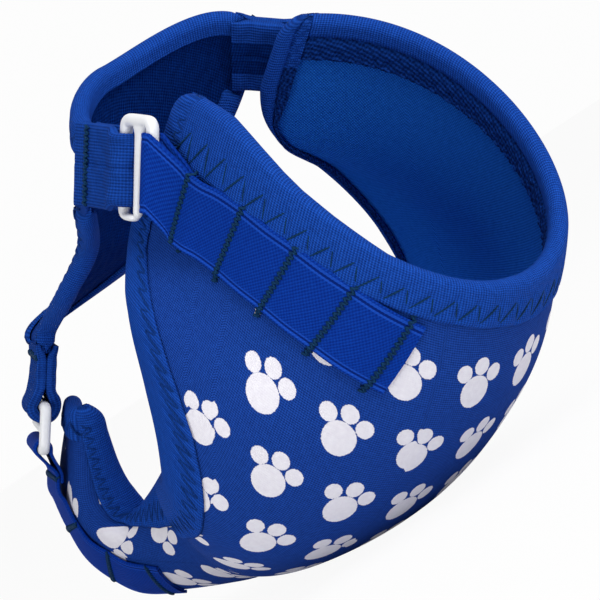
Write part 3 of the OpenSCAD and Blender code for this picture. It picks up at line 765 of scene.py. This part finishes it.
def to_lines(a, s, corner_a, corner_s):
    """Distance from each place to the nearest of the three straight stitches round it."""
    k = np.clip(np.searchsorted(corner_a, a[:, 0]) - 1, 0, len(corner_a) - 2)
    best = np.full(s.shape, 9.0)
    for step in (-1, 0, 1):
        i = np.clip(k + step, 0, len(corner_a) - 2)
        p = np.stack([corner_a[i], corner_s[i]], -1)[:, None]
        q = np.stack([corner_a[i + 1], corner_s[i + 1]], -1)[:, None]
        d, x = q - p, np.stack(np.broadcast_arrays(a, s), -1) - p
        t = np.clip((x * d).sum(-1) / (d * d).sum(-1), 0, 1)[..., None]
        best = np.minimum(best, size(x - t * d))
    return best


def bound(name, edge, ends, width, seam, body, replaces, thread=binding_thread, rough=1.0, rounded=False,
          proud=None, inside=15.3, tuck=0.0):
    """A binding and its seam: the section swept along the edge, sunk under each stitch, and then the thread.

    rough gives the inner leaf its sprung loops, rounded turns the band's ends, proud moves the edge in or
    out, inside is the inner leaf's greatest width, and tuck is the length over which the ends thin out.
    """
    place, length, patch_at = measured(edge, *ends)
    a = np.linspace(0, length, max(int(length / BAND_STEP), 8))
    widths = width(patch_at(a))
    wide_at = curve(a, widths)
    x, n = binding_section(rough)
    run = a[:, None]
    to_end = np.minimum(run, length - run)
    inner_widths = np.minimum(widths * 0.9, inside)
    wide = np.where(np.arange(len(x)) < LEAF_POINTS, widths[:, None], inner_widths[:, None])
    inset = section_place(x, wide)
    height = np.repeat(n[None, :], len(a), 0)

    def top(at, s):
        share = (s - ROLL) / (wide_at(at) - ROLL)
        return np.interp(share, np.linspace(0, 1, LEAF_POINTS), n[:LEAF_POINTS][::-1]) - 0.3

    corner_a, corner_s = zigzag(length, *seam)
    corner_s = wide_at(corner_a) * (1 - corner_s)
    height[:, :LEAF_POINTS] -= 0.5 * hump(to_lines(run, inset[:, :LEAF_POINTS], corner_a, corner_s), 0, 1.1)
    if proud is not None:
        inset = inset + proud(patch_at(run)) * np.clip(1 - inset / wide, 0, 1)
        corner_s = corner_s + proud(patch_at(corner_a)) * np.clip(1 - corner_s / wide_at(corner_a), 0, 1)
    thin = np.ones_like(run)
    if rounded:
        draw_in = rounding(to_end)
        inset = draw_in + inset * (wide - draw_in) / wide
        thin = np.sqrt(1 - (1 - np.clip(to_end / END_CLOSE, 0.05, 1)) ** 2)
        keep = (corner_a > END_BARE) & (corner_a < length - END_BARE)
        corner_a, corner_s = corner_a[keep], corner_s[keep]
    if tuck:
        thin = ease(np.clip(to_end / tuck, 0.06, 1))
    pile = inset[:, PILE]
    tufts = 0.35 * np.sin(run * 1.7 + 3 * np.sin(run * 0.31)) * np.sin(pile * 1.3)
    curls = 0.25 * np.sin(run * 3.3 + pile * 2.3) * np.sin(pile * 2.9 - run * 1.1)
    height[:, PILE] -= rough * (tufts + curls)
    height = MID_N + (height - MID_N) * thin
    full_run = np.broadcast_to(run, inset.shape)
    rings = place(full_run, inset, height)
    cloth = np.stack([full_run, run_table(rings, 1), 0 * inset], -1)
    piece = make_sweep(name, rings, cloth, binding_knit, body, "binding", replaces=replaces)
    if rough:
        border = np.zeros(len(x), np.int32)
        border[PILE] = 1
        partly(piece, pile_knit, np.outer(to_end[1:, 0] > (END_PLAIN if rounded else 0), border))
    sewn(name + "_zigzag", place, corner_a, corner_s, top, body, sink=0.18, material=thread)


# %% Cup bindings
LEG_W, WAIST_W = 13.0, 20.0
# Seams: pitch, low and high corner as shares of the width, and where in the pitch the low corner lies.
WAIST_SEAM, LEG_SEAM, TIP_SEAM = (8.2, 0.08, 0.6, 0.12), (4.6, 0.06, 0.46, 0.5), (4.6, 0.2, 0.6, 0.5)
# The waist binding is wide on the wings and narrower over the front.
waist_width = curve([-0.7, -0.53, -0.43, -0.34, -0.24, -0.12, 0.05, 0.25],
                    [23, 21.9, 19.8, 17.8, 15.8, 15.3, 17.5, 22])
# The leg binding is wide where the leg opening turns under, and narrow at the wing and on the tail.
leg_width = curve([0, 0.7, 0.95, 1.3, 1.6, 1.82, 2.1, 2.4, 2.8, 3.2,
                   3.5, 3.8, 4.5, 5.3, 6.0, 6.3, 6.6, 7.0, 8.3, 9],
                  [13, 12, 9, 9.5, 13, 17, 24, 28, 30, 29,
                   27, 24.5, 22, 24, 26, 24, 19, 13.5, 13, 12.5])
# Below the hook and on the tail the edge stands out a little, past the sewing line.
leg_proud = curve([0.85, 1.1, 1.5, 1.85, 2.2, 6.7, 6.9, 7.1, 7.3, 7.5, 7.7, 7.9, 8.1, 8.4, 8.7],
                  [0, -4, -3.4, -2.2, 0, 0, -0.6, -1.8, -3, -3.7, -3.8, -3.3, -2.4, -1, 0])


def even(w):
    """A binding of one width."""
    return lambda t: 0 * t + w


def row_ends(row, inset):
    """Cross coordinates at which a band along a row stops, inset millimetres from both side edges."""
    return [float(v_in(CUP, np.array([row], float), side, inset)[0]) for side in (-1, 1)]


bound("waist_band", row_edge(CUP, u_in, 1), row_ends(0, 6.0), waist_width, WAIST_SEAM, "cup",
      ["waist_binding"], sewing_thread, proud=waist_draw, tuck=6.0)
bound("near_leg_band", side_edge(CUP, -1, 1), (0, LAST), leg_width, LEG_SEAM, "cup",
      ["near_leg_binding"], rounded=True, proud=leg_proud)
bound("far_leg_band", side_edge(CUP, 1, 1), (0, LAST), leg_width, LEG_SEAM, "cup",
      ["far_leg_binding"], rounded=True, proud=far_draw, inside=11.0)
bound("tail_band", row_edge(CUP, u_end, 1), row_ends(LAST, 5.0), even(LEG_W), TIP_SEAM, "cup",
      ["tail_tip_binding"], tuck=6.0)

# %% [markdown]
# ## Elastic tapes
# Each tape is one strip of woven elastic. It lies flat on the cup, tacked down every 20 mm so that
# the cells between tacks can each take a hook. At the cup's edge it loops round the hook's finger
# and returns under the first tack. The path is drawn in two coordinates, the run along the cup and
# the height off it, and then placed on the cup by a map.

# %% Places along a tape
TAPE_W, TAPE_T, CELL, FIRST_TACK, TAPE_END = 25.0, 1.2, 20.0, 22.0, 5.0
LOOP_R, HOOK_DEPTH, FINGER_IN = 2.35, 15.0, 10.0
TAPE_S = WAIST_W + 0.9 + TAPE_W / 2
# Heights off the patch of the flat tape, the finger, the returning end and the tape above that end.
TAPE_N = LEAF_OUT + TAPE_T / 2
FINGER_N = LEAF_OUT + LEAF_T + 2.5 + TAPE_T + LOOP_R
BACK_N = LEAF_OUT + LEAF_T + 0.15 + TAPE_T / 2
TOP_N = BACK_N + TAPE_T + 0.3
# How far a wing tape climbs towards its hook, and how far in from the edge each tape starts.
RISE, OVER, TAIL_OVER = {-1: 8.0, 1: 11.0}, {-1: 3.0, 1: 17.0}, 10.0

wing_t = np.linspace(1, 0, 61)
WING_RUN = {s: run_table(patch(CUP, u_in(CUP, s * wing_t, TAPE_S), s * wing_t)) for s in (-1, 1)}
tail_t = np.linspace(LAST, LAST - 5, 61)
TAIL_RUN = run_table(patch(CUP, tail_t, 0 * tail_t))


def wing_map(side):
    """Place on a wing by run a from its edge, offset w across the tape and height n, square to the run."""
    def line(a, lift):
        v = side * np.interp(a + OVER[side], WING_RUN[side], wing_t)
        return u_in(CUP, v, TAPE_S - lift), v

    def place(a, w, n):
        a, w, n = spread(a, w, n)
        lift = RISE[side] * ease((FIRST_TACK - a) / (FIRST_TACK - FINGER_IN))
        u, v = line(a, lift)
        run = patch(CUP, *line(a + 2, lift)) - patch(CUP, *line(np.maximum(a - 2, 0), lift))
        du, dv = along(CUP, u, v), across(CUP, u, v)
        t = unit(np.cross(unit(np.cross(du, dv)), run))
        uu, uv, vv = (du * du).sum(-1), (du * dv).sum(-1), (dv * dv).sum(-1)
        ru, rv = (du * t).sum(-1), (dv * t).sum(-1)
        d = uu * vv - uv * uv
        return lifted(CUP, u - side * w * (vv * ru - uv * rv) / d, v - side * w * (uu * rv - uv * ru) / d, n)

    return place


def tail_map(a, w, n):
    """Place on the tail by run a from its tip along the middle, offset w across and height n."""
    a, w, n = spread(a, w, n)
    u = np.interp(a + TAIL_OVER, TAIL_RUN, tail_t)
    return lifted(CUP, u, w / size(across(CUP, u, 0 * u)), n)


def hook_frame(place, swing, lift):
    """Finger middle, pull towards the strap, way to the closed end and outward of a hook, as rows."""
    def at(a, w, n):
        return place(np.array([a]), np.array([w]), np.array([n]))[0]

    c = at(FINGER_IN, 0, FINGER_N)
    n = unit(at(FINGER_IN, 0, FINGER_N + 1) - c)
    b = at(FINGER_IN, 4, 0) - at(FINGER_IN, -4, 0)
    b = unit(b - n * (b @ n))
    p = at(FINGER_IN - 2, 0, 0) - at(FINGER_IN + 2, 0, 0)
    p = unit(p - n * (p @ n) - b * (p @ b))
    s = np.radians(swing)
    return np.array([c + lift * n, p * np.cos(s) - b * np.sin(s), b * np.cos(s) + p * np.sin(s), n])


def local(f, x, y, z):
    """Place in a hook's frame."""
    x, y, z = spread(x, y, z)
    return f[0] + x[..., None] * f[1] + y[..., None] * f[2] + z[..., None] * f[3]


# For each end: cells of its tape, reach and radius of its tacks, lap of the strap's fold, and the side on
# which its hook is closed.
WING_END = {"cells": 4, "tack_reach": (-16.0, 14.6), "tack_radius": 0.5, "lap": 4.5, "closed": 1}
TAIL_END = {"cells": 3, "tack_reach": (-12.6, 12.6), "tack_radius": 0.4, "lap": 3.0, "closed": -1}
ENDS = {"near": WING_END, "far": WING_END, "tail": TAIL_END}
MAPS = {"near": wing_map(-1), "far": wing_map(1), "tail": tail_map}
HOOKS = {
    "near": hook_frame(MAPS["near"], swing=16, lift=1.0),
    "far": hook_frame(MAPS["far"], swing=1, lift=0.0),
    "tail": hook_frame(MAPS["tail"], swing=0, lift=1.5),
}
print("hook fingers at", {end: np.round(f[0], 1).tolist() for end, f in HOOKS.items()})

# %% Tapes and tacks
PATH_STEP, PUFF = 0.6, 0.55
# Widths at which the tape's edge thins, and the groove inside its selvedge: place, width and depth.
TAPE_THIN, TAPE_EDGE, GROOVE_AT, GROOVE_W, GROOVE = 12.3, 12.45, 10.6, 0.45, 0.3
TACK_TURNS, TACK_HALF = 17, 0.95


def tape_path(cells):
    """Run and height of a tape from its sewn end, over puffed cells, round the finger and back."""
    a = np.arange(FIRST_TACK + cells * CELL + TAPE_END, FIRST_TACK + CELL, -1.5)
    puffed = PUFF * np.sin(np.pi * np.clip(a - FIRST_TACK, 0, cells * CELL) / CELL) ** 2
    t = np.radians(np.linspace(62, 270, 14))
    r = LOOP_R + TAPE_T / 2
    loop = np.stack([FINGER_IN + r * np.cos(t), FINGER_N + r * np.sin(t)], -1)
    mid = [
        [FIRST_TACK + CELL, TAPE_N],
        [FIRST_TACK + CELL / 2, TAPE_N + 0.75],
        [FIRST_TACK + 6, TOP_N],
        [FIRST_TACK + 1, TOP_N],
        [FIRST_TACK - 2, TOP_N],
        [(FIRST_TACK + FINGER_IN) / 2 + 2, TOP_N + 0.28 * (FINGER_N - TOP_N)],
    ]
    back = [[LEG_W - 0.5, FINGER_N - r], [FIRST_TACK - 3, BACK_N], [FIRST_TACK + 2, BACK_N]]
    return smooth_path(np.concatenate([np.stack([a, TAPE_N + puffed], -1), mid, loop, back]), PATH_STEP)


def tape_place(end, a, w, n):
    """On the cup past the first tack, in the hook's frame round the finger, and straight between the two."""
    start, stop = FIRST_TACK - 1.6, FINGER_IN + 1.5
    k = np.clip((start - a) / (start - stop), 0, 1)[..., None]
    round_finger = local(HOOKS[end], FINGER_IN - np.minimum(a, stop), w, n - FINGER_N)
    return k * round_finger + (1 - k) * MAPS[end](np.maximum(a, start), w, n)


def make_tape(end):
    """The path given its thickness, then carried across the tape's width; the edges are thin selvedges."""
    path = tape_path(ENDS[end]["cells"])
    off = beside(path) * TAPE_T / 2
    half = TAPE_W / 2
    w = np.concatenate([[-half, 0.1 - half], np.linspace(0.4 - half, half - 0.4, 40), [half - 0.1, half]])
    edge = np.abs(w)
    thick = np.select([edge > TAPE_EDGE, edge > TAPE_THIN], [0.35, 0.8], 1.0)
    thick = thick - GROOVE * hump(edge, GROOVE_AT, GROOVE_W) * (edge < 12)
    ring, ring_w, cloth = strip_rings(path, off, w, thick[None, :], thick[None, :])
    return make_sweep(end + "_tape", tape_place(end, ring[..., 0], ring_w, ring[..., 1]), cloth,
                      elastic_weave, "cup", "elastic", replaces=[end + "_elastic"])


def make_tack(end, k):
    """One narrow dense zigzag across the tape; past the tape's edges it goes into the cloth."""
    base = (TOP_N if k == 0 else TAPE_N) + TAPE_T / 2
    corner_a = np.linspace(*ENDS[end]["tack_reach"], 2 * TACK_TURNS)
    corner_s = FIRST_TACK + k * CELL + np.tile([-TACK_HALF, TACK_HALF], TACK_TURNS)

    def top(w, _):
        return base + 0.2 - (base - PANEL_OUT - 0.3) * ease((np.abs(w) - 12.2) / 1.4)

    def spot(w, s, n):
        return tape_place(end, s, w, n)

    return sewn(f"{end}_tack_{k + 1}", spot, corner_a, corner_s, top, "cup", ENDS[end]["tack_radius"],
                dive=0.35, fine=4, replaces=[end + "_bar_tacks"] if k == 0 else ())


tapes = {end: make_tape(end) for end in ENDS}
tacks = {end: [make_tack(end, k) for k in range(ENDS[end]["cells"] + 1)] for end in ENDS}

# %% [markdown]
# ## The back strap
# The strap is a second patch: an upper and a lower line that run from hook to hook, a yoke that
# narrows, and a stem that ends at the tail hook. It is sewn like the cup, with cloth outside,
# lining inside, and a binding along each edge.

# %% Strap patch
STRAP_W, FOLD_L, ARM_RISE, STRAP_POINTS = 27.0, 19.0, 8.0, (110, 131)
STRAP_START = HOOK_DEPTH + FOLD_L + 0.3
UP = tipped(np.array([0, 0, 1.0]))


def arm_row(mid, edge):
    """Two arm curves from the middle of the back to the upper (1) or lower (-1) corner of each wing fold."""
    y = edge * STRAP_W / 2
    rows = []
    for f, level_run, rise in ((HOOKS["near"], -16, 0.0), (HOOKS["far"], 16, ARM_RISE)):
        guide = local(f, STRAP_START + 14, y, 0) + rise * UP
        rows.append([mid, mid + [0, level_run, 0], guide, local(f, STRAP_START, y, 0)])
    return rows


def yoke_row(mid, level_run, guide, edge):
    """A level line across the yoke, the same on both sides."""
    half = np.array([[mid[0], 0, mid[1]], [mid[0], level_run, mid[1]], guide, edge], float)
    return [rested(half * [1, side, 1]) for side in (-1, 1)]


def stem_row(x):
    """A straight line across the stem, x from the tail hook's finger."""
    return [[local(HOOKS["tail"], x, s * k * STRAP_W / 6, 0) for k in range(4)] for s in (-1, 1)]


STRAP = np.array([
    arm_row(rested(np.array([-76.0, 0, 188])), 1),
    arm_row(rested(np.array([-73.0, 0, 164])), -1),
    yoke_row([-74, 133], 13, [-70, 28, 133], [-60, 32, 137]),
    yoke_row([-80, 114], 9, [-82, 20, 112], [-77, 27, 112]),
    stem_row(STRAP_START + 8),
    stem_row(STRAP_START),
])
STRAP_LAST = len(STRAP) - 1


def strap_grid(nu, nv):
    """Even grid of patch coordinates inside the sewn edges of the strap."""
    t, j = crossed(np.linspace(0, 1, nu), np.linspace(-1, 1, nv))
    lo = u_in(STRAP, j, EDGE_IN)
    u = lo + (STRAP_LAST - lo) * t
    inset = EDGE_IN * ease((u - 0.9) / 0.3) + np.where(u < 1, 0.2 + 3 * u * (1 - u), 0)
    return u, np.abs(j) * v_in(STRAP, u, np.where(j < 0, -1.0, 1.0), inset)


# %% Strap cloth, lining and bindings
strap_u, strap_v = strap_grid(*STRAP_POINTS)
strap_cloth, strap_inside = dress("strap", STRAP, strap_u, strap_v, -1, strap_knit, strap_lining_painted_shade, 0.4)
STRAP_BAND_W, STRAP_SEAM, ARM_END, FORK = 11.5, (6.0, 0.18, 0.62, 0.3), 0.985, 1.03
for name, edge, ends, node in (
    ("strap_top_band", row_edge(STRAP, u_in, -1), (-ARM_END, ARM_END), "strap_waist_binding"),
    ("strap_near_band", side_edge(STRAP, -1, -1), (FORK, STRAP_LAST), "strap_near_leg_binding"),
    ("strap_far_band", side_edge(STRAP, 1, -1), (FORK, STRAP_LAST), "strap_far_leg_binding"),
):
    bound(name, edge, ends, even(STRAP_BAND_W), STRAP_SEAM, "strap", [node], rough=0.0, inside=8.0, tuck=5.0)

# %% [markdown]
# ## Folded strap ends
# Each strap end passes round a hook's bar, folds back on itself and is closed by a dense zigzag.
# The fold is a strip with a rounded section, carried round the bar.

# %% Folds
FOLD_T, FOLD_HALF, FOLD_ROUND = 3.3, STRAP_W / 2, 1.65
# Width drawn in at the bar, and the border that keeps its knit on the inner flap.
FOLD_GATHER, FOLD_BORDER = 1.9, 7.5
FOLD_TURNS, FOLD_STITCH = 15, 0.9


def fold_line(lap):
    """Middle line of a fold in the hook's frame, and its thickness: outer flap, round the bar, inner flap."""
    r = LOOP_R + 0.1 + FOLD_T / 2
    t = np.radians(np.linspace(80, 280, 15))
    eye = np.stack([HOOK_DEPTH + r * np.cos(t), r * np.sin(t), 0 * t + FOLD_T], -1)
    end = HOOK_DEPTH + FOLD_L
    flap = np.array([
        [end + lap, 1.75 + 0.49 * lap, FOLD_T - 0.58 * lap],
        [end + 0.45 * lap, 1.75 + 0.39 * lap, FOLD_T - 0.42 * lap],
        [end - 1, 1.72, FOLD_T],
        [end - 5, 1.67, FOLD_T],
        [HOOK_DEPTH + 7, 1.67, FOLD_T],
        [HOOK_DEPTH + 4.8, 2.3, FOLD_T],
    ])
    return smooth_path(np.concatenate([flap, eye, flap[::-1] * [1, -1, 1]]), PATH_STEP)


def make_fold(end):
    """A fold's line given its thickness and carried across the strap; bindings meet there in a welt."""
    f, lap = HOOKS[end], ENDS[end]["lap"]
    path = fold_line(lap)
    off = beside(path[:, :2]) * (path[:, 2:] / 2)
    run = run_table(path[:, :2])
    y = np.linspace(-FOLD_HALF, FOLD_HALF, 72)
    rim = np.clip(np.abs(y) - (FOLD_HALF - FOLD_ROUND), 0, FOLD_ROUND) / FOLD_ROUND
    full = np.sqrt(np.clip(1 - rim**2, 0.02, 1))
    soft = (0.16 * np.sin(run * 0.55)[:, None] * np.sin(y * 0.6 + 1.0)
            + 0.12 * np.sin(run * 0.9 + 2.0)[:, None] * np.cos(y * 0.35))
    welt = 0.1 * ease((-y - 0.2) / 1.2) - 0.28 * hump(y, 0.5, 0.55) + 0.12 * hump(y, -1.0, 0.8)
    roll = 0.16 * hump(np.abs(y), 10.3, 2.2)
    shut = ease((path[:, :1] - HOOK_DEPTH - 4.5) / 2.5) * np.where(rim > 0.98, 0.9, 1.0)
    puffed = full * (1 + welt + roll) + soft * full
    ring, ring_y, cloth = strip_rings(path[:, :2], off, y, np.maximum(full, shut), puffed)
    near_bar = 1 - ease((path[:, :1] - HOOK_DEPTH + 1) / 5)
    gathered = FOLD_GATHER * near_bar * np.sign(ring_y) * ease((np.abs(ring_y) - 8) / 5.5)
    piece = make_sweep(end + "_fold", local(f, ring[..., 0], ring_y - gathered, ring[..., 1]), cloth,
                       fold_knit, "strap", "strap_cloth", replaces=[end + "_strap_loop"])
    inner_flap = (path[1:, 1] < 0) & (path[1:, 0] > HOOK_DEPTH + 3)
    inside = np.outer(inner_flap, np.abs(ring_y[0]) < FOLD_HALF - FOLD_BORDER)
    partly(piece, strap_lining_painted_shade, inside, (0, 1))

    corner_a = np.linspace(-FOLD_HALF + 0.6, FOLD_HALF - 0.6, 2 * FOLD_TURNS)
    corner_s = HOOK_DEPTH + FOLD_L - 1.5 + np.tile([-FOLD_STITCH, FOLD_STITCH], FOLD_TURNS)
    sewn(end + "_fold_zigzag", lambda w, s, n: local(f, s, w, n), corner_a, corner_s,
         lambda w, s: 3.5 + 0.1 * lap + 0.06 * (s - 32), "strap", radius=0.5, dive=0.3, fine=4,
         replaces=[end + "_loop_stitches"])
    return piece


folds = {end: make_fold(end) for end in ENDS}

# %% [markdown]
# ## Moulded hooks
# Each hook is one moulding: a bent bar that runs from the foot up the strap side, over the closed
# end and down the finger, with a tapered bar across the middle. It could be cut from a block with
# booleans, but a mould leaves soft corners. So round bars are carried along the two lines, and a
# voxel remesh with a little smoothing fuses them and leaves the fillets that a mould needs.

# %% Hooks
HOOK_TOP, HOOK_FOOT, HOOK_MID, FINGER_END = 15.9, -14.9, 6.9, -13.4
BEND_R, BAR_STEP, BAR_SIDES, BAR_DOME, BAR_SQUARE = 3.0, 0.5, 20, 2.0, 0.8
FRAME_HALF, MID_HALF, FUSE_VOXEL = 2.0, 1.6, 0.4
# The frame bar is slim at its foot and then even.
frame_half = curve([0, 0.08, 0.14, 1], [1.1, 1.1, FRAME_HALF, FRAME_HALF])


def bent(corners):
    """Straight runs between corners, with each inner corner turned on a quadratic arc."""
    c = np.array(corners, float)
    t = np.linspace(0, 1, 8)[:, None]
    line = [c[:1]]
    for before, at, after in zip(c, c[1:], c[2:]):
        p, q = at + BEND_R * unit(before - at), at + BEND_R * unit(after - at)
        line.append((1 - t) ** 2 * p + 2 * t * (1 - t) * at + t**2 * q)
    return np.concatenate([*line, c[-1:]])


def bar_rings(corners, half, thick):
    """An oval carried along a bent line: half(run share) in the hook's plane, thick across it, domed ends."""
    path, at = even_steps(bent(corners), BAR_STEP)
    dome = np.sqrt(1 - (1 - np.clip(np.minimum(at, at[-1] - at) / BAR_DOME, 0.03, 1)) ** 2)
    t = np.arange(BAR_SIDES) * 2 * np.pi / BAR_SIDES
    round_c, round_s = (np.sign(k) * np.abs(k) ** BAR_SQUARE for k in (np.cos(t), np.sin(t)))
    wide = (half(at / at[-1]) * dome)[:, None] * round_c
    deep = (thick * dome)[:, None] * round_s
    return np.concatenate([path[:, None] + beside(path)[:, None] * wide[..., None], deep[..., None]], -1)


def mid_half(k):
    """The middle bar tapers to its foot and swells where it leaves the closed end."""
    return 2.1 - 0.75 * k + 1.4 * hump(k, 0.06, 0.05)


def make_hook(end):
    """Both bars of a hook in its frame, fused; the end's table says on which side the closed end lies."""
    node = end + "_hook"
    frame_line = [(HOOK_MID + 0.4, HOOK_FOOT), (HOOK_DEPTH, HOOK_FOOT), (HOOK_DEPTH, HOOK_TOP),
                  (0, HOOK_TOP), (0, FINGER_END)]
    mid_line = [(HOOK_MID, HOOK_TOP), (HOOK_MID, HOOK_FOOT)]
    bars = [bar_rings(frame_line, frame_half, FRAME_HALF), bar_rings(mid_line, mid_half, MID_HALF)]
    quads, caps, start = [], [], 0
    for rings in bars:
        k, m = rings.shape[:2]
        quads.append(grid_quads(k, m, True) + start)
        caps += end_caps(k, m, start)
        start += k * m
    flat_bars = np.concatenate([r.reshape(-1, 3) for r in bars])
    points = local(HOOKS[end], flat_bars[:, 0], ENDS[end]["closed"] * flat_bars[:, 1], flat_bars[:, 2])
    piece = make_piece(end + "_moulding", points, np.concatenate(quads), flat_bars, hook_plastic,
                       node, "hook_plastic", replaces=[node], caps=caps)
    fuse = piece.modifiers.new("fused bars", "REMESH")
    fuse.mode, fuse.voxel_size, fuse.use_smooth_shade = "VOXEL", FUSE_VOXEL * MM, True
    soften = piece.modifiers.new("mould fillets", "SMOOTH")
    soften.factor, soften.iterations = 0.5, 6


for end in ENDS:
    make_hook(end)

# %% [markdown]
# ## Lengths of the strips
# The cup and strap panels are sheets of cloth cut to a shape. Their flat areas are worked out from
# the surfaces, and the pieces sewn on them go with them. Tapes and folds are plain strips; the cell
# below works out the length of each tape's path and each fold's line.


for end, tape in tapes.items():
    tape_length = run_table(tape_path(ENDS[end]["cells"]))[-1]
for end, fold in folds.items():
    fold_length = run_table(fold_line(ENDS[end]["lap"])[:, :2])[-1]

# %% [markdown]
# ## Floor, light and background
# The photograph has a white ground and broad soft light from above and in front. Large lamps do
# the same here, and the floor stays white for the camera but keeps the garment's soft shadow.

# %% Floor and background
FLOOR_HALF, FLOOR_DROP, FLOOR_GLOW = 4, -0.0002, 0.93
SKY_LIGHT, SKY_SEEN, WHITE = 0.33, 0.98, (1, 1, 1, 1)

# Paper: matt, and mostly its own white to the camera, so that only the deeper shadow shows.
ground, tree, shader = new_finish("matt white paper floor", Roughness=0.9)
shader.inputs["Base Color"].default_value = linear("#f2f2f2")
glow = add(tree, "Emission", {"Color": WHITE, "Strength": 1.0})
seen = maths(tree, "MULTIPLY", add(tree, "LightPath").outputs["Is Camera Ray"], FLOOR_GLOW)
mixed = add(tree, "MixShader", {0: seen, 1: shader.outputs[0], 2: glow.outputs[0]})
tree.links.new(mixed.outputs[0], tree.nodes["Material Output"].inputs[0])
floor_mesh = bpy.data.meshes.new("floor")
corners = [(x * FLOOR_HALF, y * FLOOR_HALF, FLOOR_DROP) for x, y in ((-1, -1), (1, -1), (1, 1), (-1, 1))]
floor_mesh.from_pydata(corners, [], [(0, 1, 2, 3)])
floor_mesh.materials.append(ground)
floor = add_object("floor", floor_mesh)

world = bpy.data.worlds.new("studio")
bpy.context.scene.world = world
world.use_nodes = True
sky = world.node_tree
ray = add(sky, "LightPath").outputs
dim = add(sky, "Background", {"Color": WHITE, "Strength": SKY_LIGHT})
seen_white = add(sky, "Background", {"Color": WHITE, "Strength": SKY_SEEN})
pale = maths(sky, "MAXIMUM", ray["Is Camera Ray"], ray["Is Glossy Ray"])
pale = maths(sky, "MAXIMUM", pale, ray["Is Transmission Ray"])
both = add(sky, "MixShader", {0: pale, 1: dim.outputs[0], 2: seen_white.outputs[0]})
sky.links.new(both.outputs[0], sky.nodes["World Output"].inputs[0])

# %% Lamps
AIM = np.array([0.0, 0.0, 0.09])
# Each lamp: metres to the right, above and in front of the garment as the camera sees it, watts and width.
LAMPS = (
    ("key", 0.1, 1.05, 0.75, 12.5, 0.9),
    ("fill", 0.9, 0.3, 0.7, 5, 0.8),
    ("low fill", -0.65, -0.3, 0.9, 3.8, 0.5),
)
for name, right, up, front, watts, width in LAMPS:
    lamp = add_object(name, bpy.data.lights.new(name, "AREA"))
    lamp.data.energy, lamp.data.size = watts, width
    at = AIM + right * CAM_RIGHT + up * CAM_UP + front * CAM_BACK
    z = unit(at - AIM)
    x = unit(np.cross(CAM_UP + 0.01 * CAM_RIGHT, z))
    lamp.matrix_world = standing(x, np.cross(z, x), z, at)
bpy.context.scene.view_settings.view_transform = "Standard"
